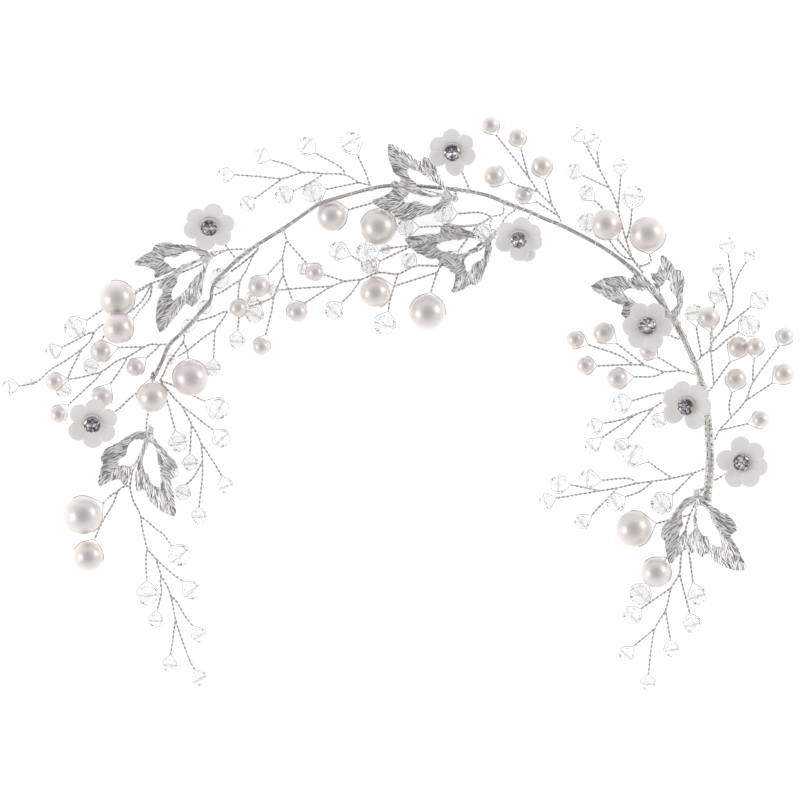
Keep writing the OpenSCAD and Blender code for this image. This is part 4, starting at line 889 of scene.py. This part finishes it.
def petal(piece, angle, size, seams, drop=0, out=0):
    """One cupped petal. seams are the angles, on its two sides, at which it meets its neighbours."""
    rr = 0.93 * petal_r * size
    reach = (petal_reach + petal_r) * size - rr
    rows, cols, start, thick = 20, 18, 1.2, 0.75
    neck = 0.45      # share of the rows before the petal's round end
    top, met = [], []
    for i in range(rows + 1):
        q = i / rows
        if q < neck:
            s = q / neck
            r = start + (reach - start) * s
            w = rr * (0.36 + 0.64 * sin(s * pi / 2) ** 0.8)
        else:
            t = (q - neck) / (1 - neck) * pi / 2
            r = reach + rr * sin(t)
            w = rr * max(cos(t), 0.03)
        row = []
        for j in range(cols + 1):
            v = sin((j / cols - 0.5) * pi)
            y = v * min(w, r * tan(seams[0 if v < 0 else 1]))
            far = hypot(r - reach, y) / rr
            z = petal_rise * 0.42 * max(0, (r - start) / (reach - start)) ** 1.6 if r < reach else \
                petal_rise * (0.42 + 0.42 * (r - reach) / rr)
            z += 0.5 * (y / rr) ** 2 * min(1, r / reach)
            z -= 0.35 * max(0, far - 0.72) ** 2 / 0.08 * (1 if r > reach * 0.8 else 0.3)
            row.append((r + out, y, z + petal_t * 0.92 - drop))
        top.append(row)
        met.append([r * tan(a) < w for a in seams])
    c, s = cos(angle), sin(angle)
    verts = []
    for layer in (0, 1):
        for i, row in enumerate(top):
            for j, (r, y, z) in enumerate(row):
                edge = min(1, min(rows - i, j, cols - j) / 2.5)
                z = z - layer * thick * (0.25 + 0.75 * edge)
                verts.append((r * c - y * s, r * s + y * c, max(z, 0.02)))
    n = cols + 1
    m = n * (rows + 1)
    faces, mats = [], []
    for i in range(rows):
        for j in range(cols):
            a = i * n + j
            faces += [(a, a + n, a + n + 1, a + 1), (m + a, m + a + 1, m + a + n + 1, m + a + n)]
            # the columns next to a seam where the petals meet take the lighter resin, a painted
            # highlight
            mats += [1 if (j < 3 and met[i][0]) or (j > cols - 4 and met[i][1]) else 0] * 2
    for i in range(rows):      # a side is open where it meets its neighbour
        a, b = i * n, i * n + cols
        if not (met[i][0] and met[i + 1][0]):
            faces.append((a, m + a, m + a + n, a + n))
        if not (met[i][1] and met[i + 1][1]):
            faces.append((b, b + n, m + b + n, m + b))
    for j in range(cols):
        a = rows * n + j
        faces += [(j, j + 1, m + j + 1, m + j), (a, m + a, m + a + 1, a + 1)]
    piece.add(verts, faces, mats + [0] * (len(faces) - len(mats)))


def ball(piece, c, r, mat):
    n, half = 24, 12
    faces = [f for j in range(half) for f in band(j * n, (j + 1) * n, n, True)]
    piece.add([p for a in np.linspace(0.02, pi - 0.02, half + 1)
               for p in ring(c + r * cos(a) * Z, r * sin(a), X, Y, n)],
              faces + [tuple(range(n)), tuple(half * n + k for k in reversed(range(n)))], mat)


def flower(i, f):
    piece = Piece()
    around = sorted(radians(a) for a in f[7])
    for k, a in enumerate(around):
        before, after = (a - around[k - 1]) % (2 * pi), (around[(k + 1) % 6] - a) % (2 * pi)
        petal(piece, a - radians(f[5]), f[6], (before / 2, after / 2))
    if i == 3:      # a spare petal peeps out below this flower
        petal(piece, radians(-64 - f[5]), 0.9 * f[6], (0.6, 0.6), 0.85, 1.9)
    if i == 2:      # and a white bead below this one
        a = radians(-82 - f[5])
        ball(piece, V(6.1 * cos(a), 6.1 * sin(a), -0.9), 2.2, 1)
    # the hub that the cup stands on
    segs, hub = 32, [(0.55, 0), (2.2, 0), (2.9, 0.3), (3, 0.75), (2.7, petal_t), (0.55, petal_t)]
    piece.add([p for r, z in hub for p in ring(z * Z, r, X, Y, segs)],
              [f for j in range(6) for f in band(j * segs, (j + 1) % 6 * segs, segs)])
    return sharpen(merge(piece.make(f"petals_{i + 1}", [petal_mat, seam_highlight_and_white_mat], place=flower_place(f))))


def stone(i, f):
    """Brilliant: a table, stars, eight kites, sixteen girdle facets, and a foiled point below."""
    depth = 0.12 * stone_d
    z0 = petal_t + wire_gap + cup_floor + stone_gap + depth
    R = stone_d / 2 + 0.06
    rows = ((0.27 * stone_d, 0.36, 8, 0), (0.395 * stone_d, 0.285, 8, 0.5),
            (R, 0.2, 16, 0), (R, 0.15, 16, 0))
    verts = [p for r, z, n, shift in rows for p in ring((z0 + z * stone_d) * Z, r, X, Y, n, shift)]
    verts.append((z0 - depth) * Z)
    T, M, G, U, P = 0, 8, 16, 32, 48      # first vertex of each of the rings, and the point
    faces = [tuple(range(8))]
    for k in range(8):
        n = (k + 1) % 8
        faces += [(T + k, M + k, T + n), (T + k, M + (k - 1) % 8, G + 2 * k, M + k),
                  (M + k, G + 2 * k, G + 2 * k + 1), (M + k, G + 2 * k + 1, G + (2 * k + 2) % 16)]
    # some crown facets are opaque grey metal: painted reflections
    tints = [0] + [0 if j % 4 < 2 else rnd.choice((0, 3, 3)) for j in range(32)]
    for k in range(16):
        n = (k + 1) % 16
        faces += [(G + k, U + k, U + n, G + n), (U + k, P, U + n)]
        # some pavilion facets are dark foil: painted dark reflections
        tints += [rnd.choice((1, 2)) if k % 2 else 1] * 2
    piece = Piece()
    piece.add(verts, faces, tints)
    mats = [crown_mat, foil_mat, dark_reflection_foil_mat, facet_reflection_mat]
    return merge(piece.make(f"stone_{i + 1}", mats, smooth=False, place=flower_place(f)))


for i, f in enumerate(flowers):
    dress(flower(i, f), f"flower_{i + 1}")
    dress(stone(i, f), f"rhinestone_{i + 1}")
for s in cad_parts["cups"].material_slots:
    s.material = cup_mat


# ---- leaves

RIB_GAP, RIB_LEN, RIB_SLANT = 0.46, 1.7, radians(27)
HALF = 4        # steps in half a rib, at which it is tested against the plate's edge
RIM = 0.12      # rounding of a plate's edge


def rounded(points):
    """Smooth closed outline through corner points; a sharp corner stays sharp."""
    pts = [V(*p) for p in points]
    n = len(pts)
    sharp = [i for i in range(n) if unit(pts[i] - pts[i - 1]).dot(unit(pts[(i + 1) % n] - pts[i]))
             < cos(radians(52))]
    out = np.array([p for a, b in zip(sharp, sharp[1:] + [sharp[0] + n])
                    for p in smooth_path([pts[k % n] for k in range(a, b + 1)], 0.35)[:-1]])
    return (np.roll(out, 1, axis=0) + 2 * out + np.roll(out, -1, axis=0)) / 4


def inside_all(poly, pts):
    """Which points lie inside a closed outline."""
    x, y = pts[:, 0:1], pts[:, 1:2]
    a, b = poly, np.roll(poly, -1, axis=0)
    rise = np.where(abs(b[:, 1] - a[:, 1]) < 1e-9, 1e-9, b[:, 1] - a[:, 1])
    over = (a[:, 1] > y) != (b[:, 1] > y)
    return (over & (x < a[:, 0] + (y - a[:, 1]) * (b[:, 0] - a[:, 0]) / rise)).sum(1) % 2 == 1


def fine_ribs(piece, out, hole, place, top):
    """Ribs in rows, slanting from the leaflet's line towards its tip and fanning in each lobe."""
    far = out[:, 0].max()
    ph = [rnd.uniform(0, 6.28) for _ in range(4)]      # the last two aren't used
    for s in (1, -1):
        d, c = V(cos(RIB_SLANT), s * sin(RIB_SLANT)), V(-sin(RIB_SLANT), s * cos(RIB_SLANT))
        seeds = []
        for row in np.arange(-15, 17, RIB_GAP):
            a = rnd.uniform(-20, -18)
            while a < 40:
                a += RIB_LEN * rnd.uniform(0.7, 1.15)
                q = d * a + c * (row + rnd.uniform(-0.1, 0.1))
                if -0.5 < q[0] < far + 0.5 and s * q[1] > -0.15:
                    seeds.append(q)
        seeds = np.array(seeds)
        ang = RIB_SLANT * (1 - 0.6 * np.clip((seeds[:, 0] / far - 0.55) / 0.45, 0, 1)) + np.radians(
            11 * np.sin(seeds @ V(0.75, 0.5) + ph[0]) + 8 * np.sin(seeds @ V(-0.5, 1.3) + ph[1]))
        ang += np.radians([rnd.gauss(0, 5) for _ in seeds])
        run = np.stack([np.cos(ang), s * np.sin(ang), 0 * ang], 1)
        steps = np.linspace(-0.5, 0.5, 2 * HALF + 1) * RIB_LEN * 1.5
        grid = (seeds[:, None, :] + run[:, None, :] * steps[None, :, None]).reshape(-1, 3)
        free = (inside_all(out, grid) & ~inside_all(hole, grid)).reshape(-1, len(steps))
        for seed, way, ok in zip(seeds, run, free):
            if not ok[HALF]:
                continue
            a = b = HALF      # from the middle as far as the rib stays on the plate
            while a > 0 and ok[a - 1]:
                a -= 1
            while b < 2 * HALF and ok[b + 1]:
                b += 1
            if b - a < 2:
                continue
            lo, hi = steps[a] - rnd.uniform(0, 0.16), steps[b] + rnd.uniform(0, 0.24)
            fat, up, bend = rnd.uniform(0.75, 1.2), rnd.uniform(-0.04, 0.08), rnd.uniform(-0.2, 0.2)
            bow = V(-way[1], way[0]) * bend
            line = [place(seed + way * (lo + (hi - lo) * t) + bow * sin(pi * t),
                          top + up + 0.07 * sin(pi * t) - 0.03) for t in (0, 0.33, 0.67, 1)]
            mat = rnd.choices((0, 2, 1), (0.62, 0.26, 0.12))[0]
            tube(piece, line, np.array([0.1, 0.195, 0.19, 0.08]) * fat, 5, mat)


def plate(piece, name, outlines, place, middle):
    cu = bpy.data.curves.new(name, "CURVE")
    cu.dimensions, cu.fill_mode = "2D", "BOTH"
    cu.extrude, cu.bevel_depth, cu.bevel_resolution = (leaf_t / 2 - RIM) * MM, RIM * MM, 2
    cu.offset = -0.3 * MM
    for poly in outlines:
        sp = cu.splines.new("POLY")
        sp.points.add(len(poly) - 1)
        for q, pnt in zip(sp.points, poly):
            p = place(pnt, 0)
            q.co = (p[0] * MM, p[1] * MM, 0, 1)
        sp.use_cyclic_u = True
    tmp = link("tmp", cu)
    bpy.context.view_layer.update()
    me = tmp.evaluated_get(bpy.context.evaluated_depsgraph_get()).to_mesh()
    # the plate takes the dark silver: painted shade in the grooves between the ribs
    piece.add([(v.co.x / MM, v.co.y / MM, v.co.z / MM + middle) for v in me.vertices],
              [tuple(f.vertices) for f in me.polygons], 1)
    bpy.data.objects.remove(tmp)


def leaf(i, l):
    eye, middle = at(*l[:2]), l[6]
    long, short = at(*l[2:4]) - eye, at(*l[4:6]) - eye
    turn = 1 if short[0] * long[1] - short[1] * long[0] > 0 else -1
    piece, plates = Piece(), []
    for d, side, outlines in ((long, turn, (long_outline, long_opening)),
                              (short, -turn, (short_outline, short_opening))):
        s, u = norm(d) / leaflet_steps, unit(d)
        outlines = [rounded([(x * s, y * s * l[7] * side) for x, y in t]) for t in outlines]
        place = lambda p, z, u=u, w=left_of(u): eye + u * p[0] + w * p[1] + V(0, 0, z)
        fine_ribs(piece, *outlines, place, middle + leaf_t / 2)
        plates.append((outlines, place))
    for k, (outlines, place) in enumerate(plates):
        plate(piece, f"plate_{i}_{k}", outlines, place, middle)
    eyelet = ring(eye + (middle + 0.05) * Z, (eyelet_d + eyelet_wall) / 2, X, Y, 24)
    tube(piece, eyelet + eyelet[:1], eyelet_wall / 2 + 0.1, 10)
    return sharpen(piece.make(f"leaf_casting_{i + 1}", [leaf_mat, shade_and_dark_silver_mat, leaf_dull_mat]))


for i, l in enumerate(leaves):
    dress(leaf(i, l), f"leaf_{i + 1}")


# ---- floor, light and camera

floor_mat, p = material("floor_white", grey(0.93), 0.9, Emission_Color=(1, 1, 1, 1),
                        Emission_Strength=0.55)
feed(p, Base_Color=ramp(p, noise(p, 6, 2), (0.3, grey(0.925)), (0.7, grey(0.935))))
bpy.ops.mesh.primitive_plane_add(size=6, location=(0, 0, -0.0002))
floor = bpy.context.object
floor.name = "floor"
floor.data.materials.append(floor_mat)

world = bpy.data.worlds.new("studio")
bpy.context.scene.world = world
world.use_nodes = True
sky = world.node_tree.nodes["Background"]
way = add_node(sky, "SeparateXYZ", Vector=add_node(sky, "TexCoord").outputs["Generated"])
tones = ((0, 0.95), (0.45, 0.92), (0.6, 0.75), (0.75, 0.5), (0.9, 0.36), (0.985, 0.3), (1, 0.02))
feed(sky, Color=ramp(sky, way.outputs["Z"], *((z, grey(g)) for z, g in tones)), Strength=1.06)

for name, place, size, power in (("key_left", (-1.14, -0.18, 0.62), 0.75, 2.7),
                                 ("key_right", (1.13, 0.43, 0.5), 0.65, 2.6)):
    light = bpy.data.lights.new(name, "AREA")
    light.size, light.energy = size, power
    o = link(name, light)
    o.location = place
    o.rotation_euler = (-Vector(place)).to_track_quat("-Z", "Y").to_euler()

PHOTO = 800      # the photo's side, in steps
cam = bpy.data.cameras.new("camera")
cam.type = "ORTHO"
cam.ortho_scale = PHOTO * STEP * MM
cam.clip_start, cam.clip_end = 0.01, 10
camera = link("camera", cam)
camera.location = (*(at(PHOTO / 2, PHOTO / 2) * MM)[:2], 0.6)
bpy.context.scene.camera = camera
bpy.context.scene.view_settings.view_transform = "Standard"
